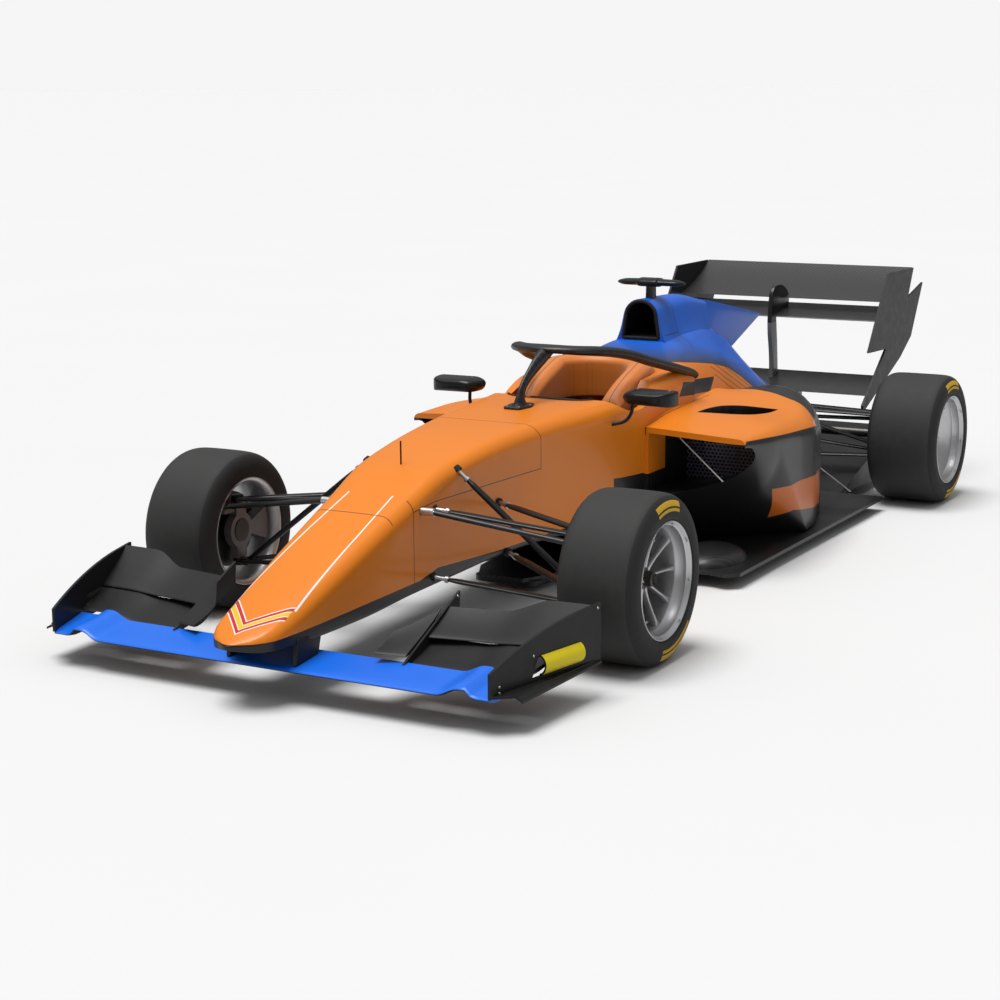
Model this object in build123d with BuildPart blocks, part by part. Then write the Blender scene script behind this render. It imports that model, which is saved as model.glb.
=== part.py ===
from build123d import *
import os
from math import cos, radians, sin

# Frame: X forward, Y left, Z up, ground at Z = 0, all sizes in millimetres

# Wheels and axles
WHEELBASE = 2880
FRONT_AXLE_X = 1350
REAR_AXLE_X = FRONT_AXLE_X - WHEELBASE
TYRE_RADIUS = 275
FRONT_TRACK = 1591
REAR_TRACK = 1587
FRONT_TYRE_WIDTH = 268
REAR_TYRE_WIDTH = 298
TYRE_SHOULDER = 10
RIM_RADIUS = 188
RIM_WALL = 12
RIM_SET_BACK = 5
SPOKES = 10
SPOKE_WIDTH = 15
WHEEL_CENTRE_RADIUS = 58
WHEEL_CENTRE_THICKNESS = 26
NUT_RADIUS = 26
NUT_LENGTH = 26
HUB_RADIUS = 40
HUB_LENGTH = 118
FRONT_FACE_OFFSET = 20
REAR_FACE_OFFSET = 10
DISC_RADIUS = 132
DISC_THICKNESS = 24
DISC_OFFSET = -45
SHAFT_RADIUS = 19
SHAFT_INNER_Y = 60

# Steering and suspension
KINGPIN_INSET = 80.5
BALL_JOINT_RISE = 110
BALL_PIN_RADIUS = 8
EYE_RADIUS = 20
EYE_HEIGHT = 22
RUNNING_GAP = 1
UPRIGHT_WIDTH = 56
REAR_UPRIGHT_WIDTH = 124
UPRIGHT_DEPTH = 30
UPRIGHT_RING = 62
CALIPER_GAP = 7
CALIPER_ARC = 44
STEERING_ARM = 72
STEERING_ARM_RISE = 77
STEERING_ARM_THICKNESS = 16
TRACK_PIN_RADIUS = 5
TRACK_ROD_GAP = 5
TRACK_EYE_WALL = 7
RACK_RADIUS = 13
RACK_X = 1562
RACK_Z = 464
RACK_HALF_LENGTH = 212
ARM_CHORD = 38
ARM_THICKNESS = 17
ROD_CHORD = 26
ROD_THICKNESS = 18
ARM_END_INSET = 13
PUSHROD_END_INSET = 47
REAR_LINK_END_INSET = 11

# Survival cell and cockpit
TUB_WALL = 25
TUB_REAR_X = -250
FLOOR_TOP = 60
DASH_X = 530
DASH_THICKNESS = 25
COCKPIT_FRONT_X = 415
COCKPIT_REAR_X = -190
COCKPIT_HALF_WIDTH = 226
COLUMN_TILT = 12
COLUMN_RADIUS = 12
STEERING_WHEEL_X = 325
STEERING_WHEEL_Z = 570
STEERING_WHEEL_WIDTH = 270
STEERING_WHEEL_HEIGHT = 165
STEERING_WHEEL_THICKNESS = 28
HEADREST_FRONT_X = 255
HEADREST_TOP = 745
HEADREST_BOTTOM = 590
HEAD_SPACE = 270
HEAD_SPACE_REAR_X = -100
COCKPIT_SIDE_DIP = 608
SEAT_HALF_WIDTH = 185
SEAT_THICKNESS = 22
HALO_TUBE_RADIUS = 22
HALO_PILLAR_THICKNESS = 36
HALO_FOOT_WIDTH = 84

# Floor, power unit and rear
FLOOR_THICKNESS = 14
FLOOR_FRONT_X = 368
FLOOR_REAR_X = -1233
FLOOR_HALF_WIDTH = 745
PLANK_THICKNESS = 18
PLANK_HALF_WIDTH = 150
DIFFUSER_END_X = -1960
DIFFUSER_RISE = 182
DIFFUSER_HALF_WIDTH = 555
STRAKE_THICKNESS = 8
ENGINE_REAR_X = -780
ENGINE_HALF_WIDTH = 180
ENGINE_TOP = 460
GEARBOX_REAR_X = -1640
CRASH_REAR_X = -2090
TOW_BORE_X = -2040
TOW_BORE_Z = 320
TOW_BORE_RADIUS = 11
INLET_DEPTH = 420
DECK_UNDERSIDE = 496
DECK_SLOT_DEPTH = 60
RADIATOR_THICKNESS = 70
COVER_WALL = 12
FIN_THICKNESS = 16

# Wings
REAR_WING_HALF_SPAN = 511
ENDPLATE_THICKNESS = 10
WING_PYLON_THICKNESS = 18
FRONT_PLATE_FRONT = (2233, 783)
FRONT_PLATE_REAR = (1732, 877)
FRONT_PLATE_THICKNESS = 9
FOOTPLATE_Z = 110
FENCE_Y = 421
FENCE_THICKNESS = 8
PYLON_Y = 120
PYLON_THICKNESS = 16
PLATE_PANEL_FROM = 226
PLATE_PANEL_LENGTH = 184
PLATE_PANEL_TOP = 190
PLATE_PANEL_MIDDLE = 164
PLATE_PANEL_FOOT = 132
PLATE_PANEL_SEAT = 4
PLATE_PANEL_BULGE = 26
PLATE_PANEL_THICKNESS = 6
CAMERA_X = -490
CAMERA_Z = 1006
MIRROR_STALK_HEAD = (380, 335, 655)
MIRROR_STALK_FOOT = (415, 240, 560)
MIRROR_STALK_RADIUS = 7

# Camera bars over the airbox: width across the car, height, length along the car
CAMERA_BARS = (
    (290, 22, 74),
    (112, 34, 96),
)

# Lip outside the front footplate, at its front and its rear: y, z, rounding of each corner
FOOT_LIP_FRONT = ((838, 110, 0), (866, 96, 0), (866, 103, 0), (838, 118, 0))
FOOT_LIP_REAR = ((874, 112, 0), (892, 106, 0), (892, 113, 0), (874, 119, 0))

# Cross sections of the nose: x, half width, bottom, top, top corner, bottom corner
NOSE_SECTIONS = (
    (2385, 14, 187, 205, 7, 3),
    (2352, 62, 181, 213, 14, 4),
    (2292, 102, 177, 236, 26, 6),
    (2150, 122, 175, 294, 45, 10),
    (1900, 142, 178, 396, 55, 16),
    (1625, 161, 196, 503, 60, 20),
)

# Cross sections of the survival cell ahead of and along the cockpit, same columns
TUB_FRONT_SECTIONS = (
    NOSE_SECTIONS[-1],
    (1400, 178, 208, 581, 62, 24),
    (1000, 208, 225, 634, 70, 28),
    (700, 238, 218, 650, 75, 30),
)
TUB_REAR_SECTIONS = (
    TUB_FRONT_SECTIONS[-1],
    (400, 275, 130, 656, 75, 34),
    (120, 304, FLOOR_TOP, 690, 70, 30),
    (TUB_REAR_X, 304, FLOOR_TOP, 720, 70, 30),
)

# Sidepod sections: x, inner y, outer y, bottom, outer top, inner top, corner
SIDEPOD_SECTIONS = (
    (195, 200, 702, FLOOR_TOP, 520, 546, 24),
    (-60, 200, 724, FLOOR_TOP, 522, 590, 55),
    (-500, 200, 702, FLOOR_TOP, 497, 596, 80),
    (-900, 200, 585, FLOOR_TOP, 410, 500, 80),
    (-1225, 180, 380, FLOOR_TOP, 270, 340, 60),
)

# Louvre slot in the sidepod deck: x, y
DECK_SLOT_POINTS = (
    (-60, 396),
    (-230, 404),
    (-420, 424),
    (-600, 446),
    (-750, 458),
    (-750, 470),
    (-600, 500),
    (-420, 508),
    (-230, 468),
    (-60, 410),
)

# The undercut below the sidepod deck is a plane: two points on the floor and one on the inlet's lower lip
UNDERCUT_POINTS = ((-122, 389, FLOOR_TOP), (-399, 669, FLOOR_TOP), (150, 430, 292))

# Engine cover and airbox sections: x, half width at base, base z, half width at top, top z, corner
COVER_SECTIONS = (
    (TUB_REAR_X, 290, 480, 150, 728, 80),
    (-420, 290, 480, 125, 786, 80),
    (-760, 285, 470, 70, 812, 56),
    (-1100, 255, 445, 42, 735, 36),
    (-1420, 190, 435, 30, 548, 24),
    (-1590, 130, 432, 24, 470, 12),
)
AIRBOX_SECTIONS = (
    (-402, 94, 740, 62, 944, 58),
    (-680, 86, 740, 48, 938, 44),
    (-1000, 50, 730, 20, 882, 18),
)
AIRBOX_DUCT_SECTIONS = (
    (-402, 76, 790, 54, 932, 50),
    (-640, 64, 816, 40, 924, 36),
)

# Engine cover fin outline, x and z, from its top front corner backwards
FIN_OUTLINE = (
    (-640, 920),
    (-689, 937),
    (-1089, 871),
    (-1659, 762),
    (-1295, 640),
    (-1000, 720),
    (-700, 800),
)

# Gearbox and crash structure sections: x, half width, bottom, top
GEARBOX_SECTIONS = (
    (ENGINE_REAR_X, 150, 80, 430),
    (-1300, 122, 150, 420),
    (GEARBOX_REAR_X, 100, 190, 385),
)
CRASH_SECTIONS = (
    (GEARBOX_REAR_X, 88, 230, 385),
    (CRASH_REAR_X, 45, 290, 365),
)

# Wing elements: leading edge x, leading edge z, chord, pitch, camber, thickness; the front one only its shape
FRONT_MAIN_SHAPE = (165, 9, 6, 20)
REAR_MAIN = (-1780, 738, 255, 8, 16, 26)
REAR_FLAP = (-1925, 806, 350, 22, 26, 20)
REAR_BEAM = (-1640, 420, 250, 13, 18, 22)

# Leading edge of the front main plane, which curls up and down again towards its tip: y, x, z
FRONT_MAIN_EDGE = (
    (0, 2240, 103),
    (612, 2238, 103),
    (690, 2232, 126),
    (720, 2232, 122),
    (752, 2233, 106),
    (930, 2233, 106),
)

# Front flaps: y, leading edge x, leading edge z, chord, pitch of each section
FRONT_FLAPS = (
    (
        (425, 2062, 141, 130, 11),
        (620, 2062, 143, 130, 11),
        (700, 2066, 160, 134, 11),
        (930, 2066, 160, 134, 11),
    ),
    (
        (425, 1958, 178, 144, 27),
        (600, 1932, 178, 142, 28),
        (740, 1928, 186, 190, 31),
        (930, 1928, 188, 188, 32),
    ),
    (
        (330, 2112, 154, 118, 20),
        (417, 2078, 146, 228, 25),
    ),
)
FLAP_CAMBER = 8
FLAP_THICKNESS = 12

# Front wing fence outline, x and z, from its front corner
FENCE_OUTLINE = (
    (2108, 124),
    (1768, 280),
    (1775, 196),
    (2050, 122),
)

# Suspension links: inner x, inner y, inner z, outer x from the axle, outer z
FRONT_LINKS = (
    (1501, 120, 464, 14, 385),
    (1100, 140, 420, -14, 385),
    (1512, 120, 242, 14, 165),
    (1040, 150, 240, -14, 165),
)
FRONT_PUSHROD = (1359, 120, 608, 0, 176)
REAR_LINKS = (
    (-1300, 80, 400, 30, 362),
    (-1610, 60, 370, -30, 362),
    (-1270, 80, 195, 30, 190),
    (-1605, 60, 235, -30, 190),
    (-1610, 60, 310, -46, 336),
    (-1390, 80, 400, 0, 205),
)

# Rear endplate outline, x and z, from the top front corner
REAR_PLATE_OUTLINE = (
    (-1889, 938),
    (-2243, 938),
    (-2174, 807),
    (-2385, 858),
    (-2236, 622),
    (-2089, 540),
    (-1600, 352),
    (-1590, 382),
    (-1883, 601),
    (-1649, 609),
)

# Rear wing pylon outline, x and z, from its foot up the rear side and down the front
REAR_PYLON_OUTLINE = (
    (-1872, 340),
    (-1862, 560),
    (-1822, 700),
    (-1990, 742),
    (-2020, 812),
    (-1905, 868),
    (-1790, 868),
    (-1766, 700),
    (-1800, 560),
    (-1808, 340),
)


# Planes and profiles
def across(x):
    """Upright plane across the car at x: local x is +Y, local y is +Z."""
    return Plane(origin=(x, 0, 0), x_dir=(0, 1, 0), z_dir=(1, 0, 0))


def along(y):
    """Upright plane along the car at y: local x is +X, local y is +Z."""
    return Plane(origin=(0, y, 0), x_dir=(1, 0, 0), z_dir=(0, -1, 0))


def section(x, *corners):
    """Section across the car at x, through corners of y, z and rounding, each rounding cut in two steps."""
    points = []
    for index, (y, z, rounding) in enumerate(corners):
        corner = Vector(y, z)
        back = Vector(*corners[index - 1][:2]) - corner
        ahead = Vector(*corners[(index + 1) % len(corners)][:2]) - corner
        back = back.normalized() * rounding
        ahead = ahead.normalized() * rounding
        if rounding:
            points += [corner + back, corner + (back + ahead) * (1 - sin(radians(45))), corner + ahead]
        else:
            points.append(corner)
    with BuildSketch(across(x)) as outline:
        with BuildLine():
            Polyline(*points, close=True)
        make_face()
    return outline.sketch


def body_section(x, half_width, bottom, top, top_round, bottom_round, inset=0):
    """Section of the nose and the survival cell."""
    side, low, high = half_width - inset, bottom + inset, top - inset
    upper, lower = top_round - inset / 2, bottom_round - inset / 2
    return section(x, (-side, low, lower), (side, low, lower), (side, high, upper), (-side, high, upper))


def box_section(x, half_width, bottom, top):
    """Section of the gearbox and the crash structure."""
    corner = half_width / 4
    return section(
        x,
        (-half_width, bottom, corner),
        (half_width, bottom, corner),
        (half_width, top, corner),
        (-half_width, top, corner),
    )


def pod_section(x, inner_y, outer_y, bottom, outer_top, inner_top, corner):
    """Sidepod section, rounded along its upper outer edge."""
    return section(
        x,
        (inner_y, bottom, 0),
        (outer_y, bottom, 0),
        (outer_y, outer_top, corner),
        (inner_y, inner_top, 0),
    )


def cover_section(x, base_half, base_z, top_half, top_z, corner, inset=0):
    """Engine cover or airbox section, a trapezium with rounded top corners."""
    base, low, side, high = base_half - inset, base_z - inset, top_half - inset / 2, top_z - inset
    rounding = corner - inset / 2
    return section(x, (-base, low, 0), (base, low, 0), (side, high, rounding), (-side, high, rounding))


def inlet_outline(x):
    """Sidepod inlet, rounded on its outer and lower side."""
    with BuildSketch(across(x)) as outline:
        with BuildLine():
            Polyline((425, 296), (316, 292), (316, DECK_UNDERSIDE), (664, DECK_UNDERSIDE))
            ThreePointArc((664, DECK_UNDERSIDE), (690, 480), (692, 452))
            ThreePointArc((692, 452), (570, 342), (425, 296))
        make_face()
    return outline.sketch


def foil(y, leading_x, leading_z, chord, pitch, camber, thickness, trailing=4):
    """Downforce wing section: hollow side up, trailing edge raised by the pitch."""
    heading = (-cos(radians(pitch)), 0, sin(radians(pitch)))
    plane = Plane(origin=(leading_x, y, leading_z), x_dir=heading, z_dir=(0, 1, 0))
    with BuildSketch(plane) as outline:
        with BuildLine():
            ThreePointArc((0, 0), (0.42 * chord, thickness / 2 - camber), (chord, trailing / 2))
            Line((chord, trailing / 2), (chord, -trailing / 2))
            ThreePointArc((chord, -trailing / 2), (0.42 * chord, -thickness / 2 - camber), (0, 0))
        make_face()
    return outline.sketch


def link(start, end, chord, thickness):
    """Profile of a link with sharp edges fore and aft, at its start, and the link's length."""
    run = Vector(*end) - Vector(*start)
    heading = run.normalized()
    plane = Plane(origin=start, x_dir=Vector(1, 0, 0) - heading * heading.X, z_dir=heading)
    with BuildSketch(plane) as profile:
        with BuildLine():
            ThreePointArc((-chord / 2, 0), (0, thickness / 2), (chord / 2, 0))
            ThreePointArc((chord / 2, 0), (0, -thickness / 2), (-chord / 2, 0))
        make_face()
    return profile.sketch, run.length


def wheel_plane(axle_x, turn=0):
    """Plane through a wheel's axis: local x is +Y, local y is the radius, turned back from upright."""
    swing = radians(turn)
    return Plane(origin=(axle_x, 0, TYRE_RADIUS), x_dir=(0, 1, 0), z_dir=(cos(swing), 0, sin(swing)))


def wheel_axis(axle_x):
    return Axis((axle_x, 0, TYRE_RADIUS), (0, 1, 0))


def ring(axle_x, y_from, y_to, inner_radius, outer_radius):
    """Rectangle that becomes a ring or a disc when it is turned about the wheel's axis."""
    with BuildSketch(wheel_plane(axle_x)) as profile:
        with Locations(((y_from + y_to) / 2, (inner_radius + outer_radius) / 2)):
            Rectangle(abs(y_to - y_from), outer_radius - inner_radius)
    return profile.sketch


# Front wing, trimmed to its slanted endplates
plate_run = Vector(*FRONT_PLATE_REAR) - Vector(*FRONT_PLATE_FRONT)
plate_heading = plate_run.normalized()
plate_plane = Plane(
    origin=(*FRONT_PLATE_FRONT, 0), x_dir=plate_heading, z_dir=plate_heading.cross(Vector(0, 0, 1))
)

plate_panel_plane = Plane(
    origin=Vector(*FRONT_PLATE_FRONT) + plate_heading * PLATE_PANEL_FROM, x_dir=(0, 0, 1), z_dir=plate_heading
)

with BuildPart() as front_wing_main_plane:
    loft(sections=[foil(y, x, z, *FRONT_MAIN_SHAPE) for y, x, z in FRONT_MAIN_EDGE], ruled=True)
    split(bisect_by=plate_plane, keep=Keep.BOTTOM)
    mirror(about=Plane.XZ)

with BuildPart() as front_wing_endplates:
    with BuildSketch(plate_plane):
        with BuildLine():
            Line((0, FOOTPLATE_Z), (0, 184))
            ThreePointArc((0, 184), (plate_run.length * 0.5, 262), (plate_run.length - 60, 286))
            Polyline((plate_run.length - 60, 286), (plate_run.length, 290), (plate_run.length, FOOTPLATE_Z))
            Line((plate_run.length, FOOTPLATE_Z), (0, FOOTPLATE_Z))
        make_face()
        with BuildLine():
            Polyline((185, 128), (212, 186), (404, 192), (420, 136), close=True)
        make_face(mode=Mode.SUBTRACT)
    extrude(amount=FRONT_PLATE_THICKNESS)
    with BuildSketch(plate_panel_plane):
        with BuildLine():
            ThreePointArc(
                (PLATE_PANEL_TOP, PLATE_PANEL_SEAT),
                (PLATE_PANEL_MIDDLE, PLATE_PANEL_BULGE),
                (PLATE_PANEL_FOOT, PLATE_PANEL_SEAT),
            )
        trace(line_width=PLATE_PANEL_THICKNESS)
    extrude(amount=PLATE_PANEL_LENGTH)
    with BuildSketch(Plane.XY.offset(FOOTPLATE_Z)):
        with BuildLine():
            Polyline(FRONT_PLATE_FRONT, (2180, 846), (1738, 884), FRONT_PLATE_REAR, close=True)
        make_face()
    extrude(amount=FRONT_PLATE_THICKNESS)
    loft(sections=[section(2180, *FOOT_LIP_FRONT), section(1738, *FOOT_LIP_REAR)], ruled=True)
    mirror(about=Plane.XZ)

with BuildPart() as front_wing_flaps:
    for flap in FRONT_FLAPS:
        flap_foils = [foil(*row, FLAP_CAMBER, FLAP_THICKNESS) for row in flap]
        loft(sections=flap_foils, ruled=True)
    split(bisect_by=plate_plane, keep=Keep.BOTTOM)
    mirror(about=Plane.XZ)

with BuildPart() as front_wing_fences:
    with BuildSketch(along(FENCE_Y)):
        with BuildLine():
            Polyline(*FENCE_OUTLINE, close=True)
        make_face()
    extrude(amount=FENCE_THICKNESS / 2, both=True)
    mirror(about=Plane.XZ)
    add(front_wing_main_plane.part, mode=Mode.SUBTRACT)

# Nose cone with the two pylons that carry the front wing
with BuildPart() as nose_cone:
    loft(sections=[body_section(*row) for row in NOSE_SECTIONS[:3]])
    loft(sections=[body_section(*row) for row in NOSE_SECTIONS[2:]])
    for side in (1, -1):
        with BuildSketch(along(side * PYLON_Y)):
            with BuildLine():
                Polyline((2222, 110), (2200, 190), (2080, 190), (2098, 126), close=True)
            make_face()
        extrude(amount=PYLON_THICKNESS / 2, both=True)
    add(front_wing_main_plane.part, mode=Mode.SUBTRACT)

# Survival cell: hollow tub with the cockpit opening and the dash bulkhead
column_heading = Vector(cos(radians(COLUMN_TILT)), 0, -sin(radians(COLUMN_TILT)))
column_plane = Plane(origin=(STEERING_WHEEL_X, 0, STEERING_WHEEL_Z), x_dir=(0, 1, 0), z_dir=column_heading)
column_length = (DASH_X + DASH_THICKNESS - STEERING_WHEEL_X) / cos(radians(COLUMN_TILT)) + 20

with BuildSketch(Plane.XY.offset(HEADREST_BOTTOM)) as cockpit_outline:
    with BuildLine():
        Polyline(
            (COCKPIT_FRONT_X, 150),
            (COCKPIT_FRONT_X - 110, COCKPIT_HALF_WIDTH),
            (COCKPIT_REAR_X + 130, COCKPIT_HALF_WIDTH),
            (COCKPIT_REAR_X, 150),
            (COCKPIT_REAR_X, -150),
            (COCKPIT_REAR_X + 130, -COCKPIT_HALF_WIDTH),
            (COCKPIT_FRONT_X - 110, -COCKPIT_HALF_WIDTH),
            (COCKPIT_FRONT_X, -150),
            close=True,
        )
    make_face()
    fillet(cockpit_outline.vertices(), 60)

with BuildPart() as dash_bulkhead:
    loft(sections=[body_section(*row) for row in TUB_REAR_SECTIONS[:2]], ruled=True)
    with Locations((DASH_X + DASH_THICKNESS / 2, 0, 400)):
        Box(DASH_THICKNESS, 800, 800, mode=Mode.INTERSECT)
    with BuildSketch(across(DASH_X)):
        with Locations((0, 345)):
            RectangleRounded(340, 250, 60)
    extrude(amount=DASH_THICKNESS, mode=Mode.SUBTRACT)

with BuildPart() as tub_blank:
    loft(sections=[body_section(*row) for row in TUB_FRONT_SECTIONS])
    loft(sections=[body_section(*row) for row in TUB_REAR_SECTIONS], ruled=True)

with BuildPart() as monocoque:
    add(tub_blank.part)
    front_hollow = [body_section(*row, inset=TUB_WALL) for row in TUB_FRONT_SECTIONS[1:]]
    loft(sections=front_hollow, mode=Mode.SUBTRACT)
    last_row = (TUB_REAR_X + TUB_WALL,) + TUB_REAR_SECTIONS[-1][1:]
    rear_hollow = [body_section(*row, inset=TUB_WALL) for row in TUB_REAR_SECTIONS[:-1] + (last_row,)]
    loft(sections=rear_hollow, ruled=True, mode=Mode.SUBTRACT)
    extrude(to_extrude=cockpit_outline.sketch, amount=300, mode=Mode.SUBTRACT)
    with BuildSketch(along(0)):
        with BuildLine():
            ThreePointArc((COCKPIT_FRONT_X + 25, 700), (290, COCKPIT_SIDE_DIP), (60, 720))
            Line((60, 720), (COCKPIT_FRONT_X + 25, 700))
        make_face()
    extrude(amount=500, both=True, mode=Mode.SUBTRACT)
    add(dash_bulkhead.part)
    with BuildSketch(column_plane):
        Circle(COLUMN_RADIUS + RUNNING_GAP)
    extrude(amount=column_length + 30, mode=Mode.SUBTRACT)
    with BuildSketch(Plane(origin=(RACK_X, 0, RACK_Z), x_dir=(1, 0, 0), z_dir=(0, 1, 0))):
        Circle(RACK_RADIUS + RUNNING_GAP)
    extrude(amount=400, both=True, mode=Mode.SUBTRACT)

# Cockpit fittings
with BuildPart() as headrest:
    with BuildSketch(along(0)):
        with BuildLine():
            ThreePointArc((HEADREST_FRONT_X, 600), (140, 706), (-20, HEADREST_TOP))
            Polyline(
                (-20, HEADREST_TOP),
                (COCKPIT_REAR_X, HEADREST_TOP),
                (COCKPIT_REAR_X, HEADREST_BOTTOM),
                (HEADREST_FRONT_X, HEADREST_BOTTOM),
                (HEADREST_FRONT_X, 600),
            )
        make_face()
    extrude(amount=COCKPIT_HALF_WIDTH, both=True)
    extrude(to_extrude=cockpit_outline.sketch, amount=300, mode=Mode.INTERSECT)
    with BuildSketch(Plane.XY.offset(HEADREST_BOTTOM)):
        with Locations((HEAD_SPACE_REAR_X + 250, 0)):
            RectangleRounded(500, HEAD_SPACE, 120)
    extrude(amount=400, mode=Mode.SUBTRACT)

with BuildPart() as seat:
    with BuildSketch(along(0)):
        with BuildLine():
            FilletPolyline((330, 190), (120, 76), (-70, 300), (-170, 520), radius=70)
        trace(line_width=SEAT_THICKNESS)
    extrude(amount=SEAT_HALF_WIDTH, both=True)
    add(monocoque.part, mode=Mode.SUBTRACT)

with BuildPart() as steering_wheel:
    with BuildSketch(column_plane):
        RectangleRounded(STEERING_WHEEL_WIDTH, STEERING_WHEEL_HEIGHT, 50)
        with Locations((STEERING_WHEEL_WIDTH / 2 - 42, 0), (42 - STEERING_WHEEL_WIDTH / 2, 0)):
            RectangleRounded(36, 80, 16, mode=Mode.SUBTRACT)
    extrude(amount=STEERING_WHEEL_THICKNESS)
    with BuildSketch(column_plane):
        Circle(COLUMN_RADIUS)
    extrude(amount=column_length)

# Halo: one bent tube on two rear feet and a centre pillar
with BuildPart() as halo:
    with BuildLine() as hoop:
        FilletPolyline(
            (-215, 292, 640),
            (30, 264, 792),
            (300, 176, 836),
            (398, 64, 840),
            (398, -64, 840),
            (300, -176, 836),
            (30, -264, 792),
            (-215, -292, 640),
            radius=105,
        )
    with BuildSketch(Plane(origin=hoop.line @ 0, z_dir=hoop.line % 0)):
        Circle(HALO_TUBE_RADIUS)
    sweep()
    with BuildSketch(along(0)):
        with BuildLine():
            Polyline((560, 600), (560, 660), (566, 664))
            ThreePointArc((566, 664), (498, 748), (390, 822))
            Polyline((390, 822), (390, 858), (424, 858))
            ThreePointArc((424, 858), (560, 800), (640, 664))
            Polyline((640, 664), (640, 600), (560, 600))
        make_face()
    extrude(amount=HALO_PILLAR_THICKNESS / 2, both=True)
    with BuildSketch(Plane.XY.offset(600)):
        with Locations((640, 0)):
            RectangleRounded(160, HALO_FOOT_WIDTH, 16)
    extrude(amount=62)
    add(tub_blank.part, mode=Mode.SUBTRACT)

with BuildPart() as mirrors:
    with BuildSketch(Plane.XY.offset(648)) as mirror_plan:
        with BuildLine():
            Polyline((330, 300), (320, 497), (375, 497), (425, 440), (425, 330), close=True)
        make_face()
        fillet(mirror_plan.vertices(), 18)
    extrude(amount=58)
    mirror_stalk = Vector(*MIRROR_STALK_FOOT) - Vector(*MIRROR_STALK_HEAD)
    with BuildSketch(Plane(origin=MIRROR_STALK_HEAD, z_dir=mirror_stalk)):
        Circle(MIRROR_STALK_RADIUS)
    extrude(amount=mirror_stalk.length)
    add(tub_blank.part, mode=Mode.SUBTRACT)
    mirror(about=Plane.XZ)

# Engine cover with the airbox intake and the fin
with BuildPart() as cover_blank:
    loft(sections=[cover_section(*row) for row in COVER_SECTIONS])
    loft(sections=[cover_section(*row) for row in AIRBOX_SECTIONS])

with BuildPart() as engine_cover:
    add(cover_blank.part)
    with BuildSketch(along(0)):
        with BuildLine():
            Polyline(*FIN_OUTLINE, close=True)
        make_face()
    extrude(amount=FIN_THICKNESS / 2, both=True)
    loft(sections=[cover_section(*row, inset=COVER_WALL) for row in COVER_SECTIONS], mode=Mode.SUBTRACT)
    loft(sections=[cover_section(*row) for row in AIRBOX_DUCT_SECTIONS], mode=Mode.SUBTRACT)

with BuildPart() as roll_hoop_camera:
    for width, height, length in CAMERA_BARS:
        with BuildSketch(Plane.XY.offset(CAMERA_Z - height / 2)):
            with Locations((CAMERA_X, 0)):
                RectangleRounded(length, width, 14)
        extrude(amount=height)
    with BuildSketch(Plane.XY.offset(900)):
        with Locations((CAMERA_X - 5, 0)):
            RectangleRounded(56, 26, 8)
    extrude(amount=CAMERA_Z - 900)
    add(cover_blank.part, mode=Mode.SUBTRACT)

# Sidepods with their inlets and the radiators inside
undercut_start, undercut_side, undercut_lip = [Vector(*point) for point in UNDERCUT_POINTS]
undercut_normal = (undercut_side - undercut_start).cross(undercut_lip - undercut_start)
with BuildPart() as undercut:
    undercut_run = undercut_side - undercut_start
    with BuildSketch(Plane(origin=undercut_start, x_dir=undercut_run, z_dir=undercut_normal)):
        Rectangle(3000, 3000)
    extrude(amount=900)
    with Locations((0, 0, DECK_UNDERSIDE + 1000)):
        Box(6000, 6000, 2000, mode=Mode.SUBTRACT)

with BuildPart() as sidepods:
    loft(sections=[pod_section(*row) for row in SIDEPOD_SECTIONS], ruled=True)
    add(undercut.part, mode=Mode.SUBTRACT)
    inlet_x = SIDEPOD_SECTIONS[0][0]
    extrude(to_extrude=inlet_outline(inlet_x), amount=-INLET_DEPTH, mode=Mode.SUBTRACT)
    with BuildSketch(Plane.XY.offset(DECK_UNDERSIDE - DECK_SLOT_DEPTH)):
        with BuildLine():
            Polyline(*DECK_SLOT_POINTS, close=True)
        make_face()
    extrude(amount=300, mode=Mode.SUBTRACT)
    add(tub_blank.part, mode=Mode.SUBTRACT)
    add(cover_blank.part, mode=Mode.SUBTRACT)
    mirror(about=Plane.XZ)

with BuildPart() as radiators:
    extrude(to_extrude=inlet_outline(inlet_x - INLET_DEPTH), amount=RADIATOR_THICKNESS)
    mirror(about=Plane.XZ)

# Floor with the plank, and the diffuser
with BuildPart() as floor:
    with BuildSketch(Plane.XY.offset(FLOOR_TOP - FLOOR_THICKNESS)) as floor_plan:
        with BuildLine():
            Polyline(
                (760, 0),
                (760, 90),
                (640, PLANK_HALF_WIDTH),
                (FLOOR_FRONT_X + 10, PLANK_HALF_WIDTH + 20),
                (FLOOR_FRONT_X - 16, 631),
                (FLOOR_FRONT_X, 700),
                (FLOOR_FRONT_X - 40, FLOOR_HALF_WIDTH),
                (FLOOR_REAR_X, FLOOR_HALF_WIDTH),
                (FLOOR_REAR_X, 0),
                close=True,
            )
        make_face()
        mirror(about=Plane.XZ)
    extrude(amount=FLOOR_THICKNESS)
    with BuildSketch(Plane.XY.offset(FLOOR_TOP - FLOOR_THICKNESS)):
        with Locations(((740 + FLOOR_REAR_X) / 2, 0)):
            RectangleRounded(740 - FLOOR_REAR_X, 2 * PLANK_HALF_WIDTH - 40, 40)
    extrude(amount=-PLANK_THICKNESS)
    add(tub_blank.part, mode=Mode.SUBTRACT)

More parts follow.
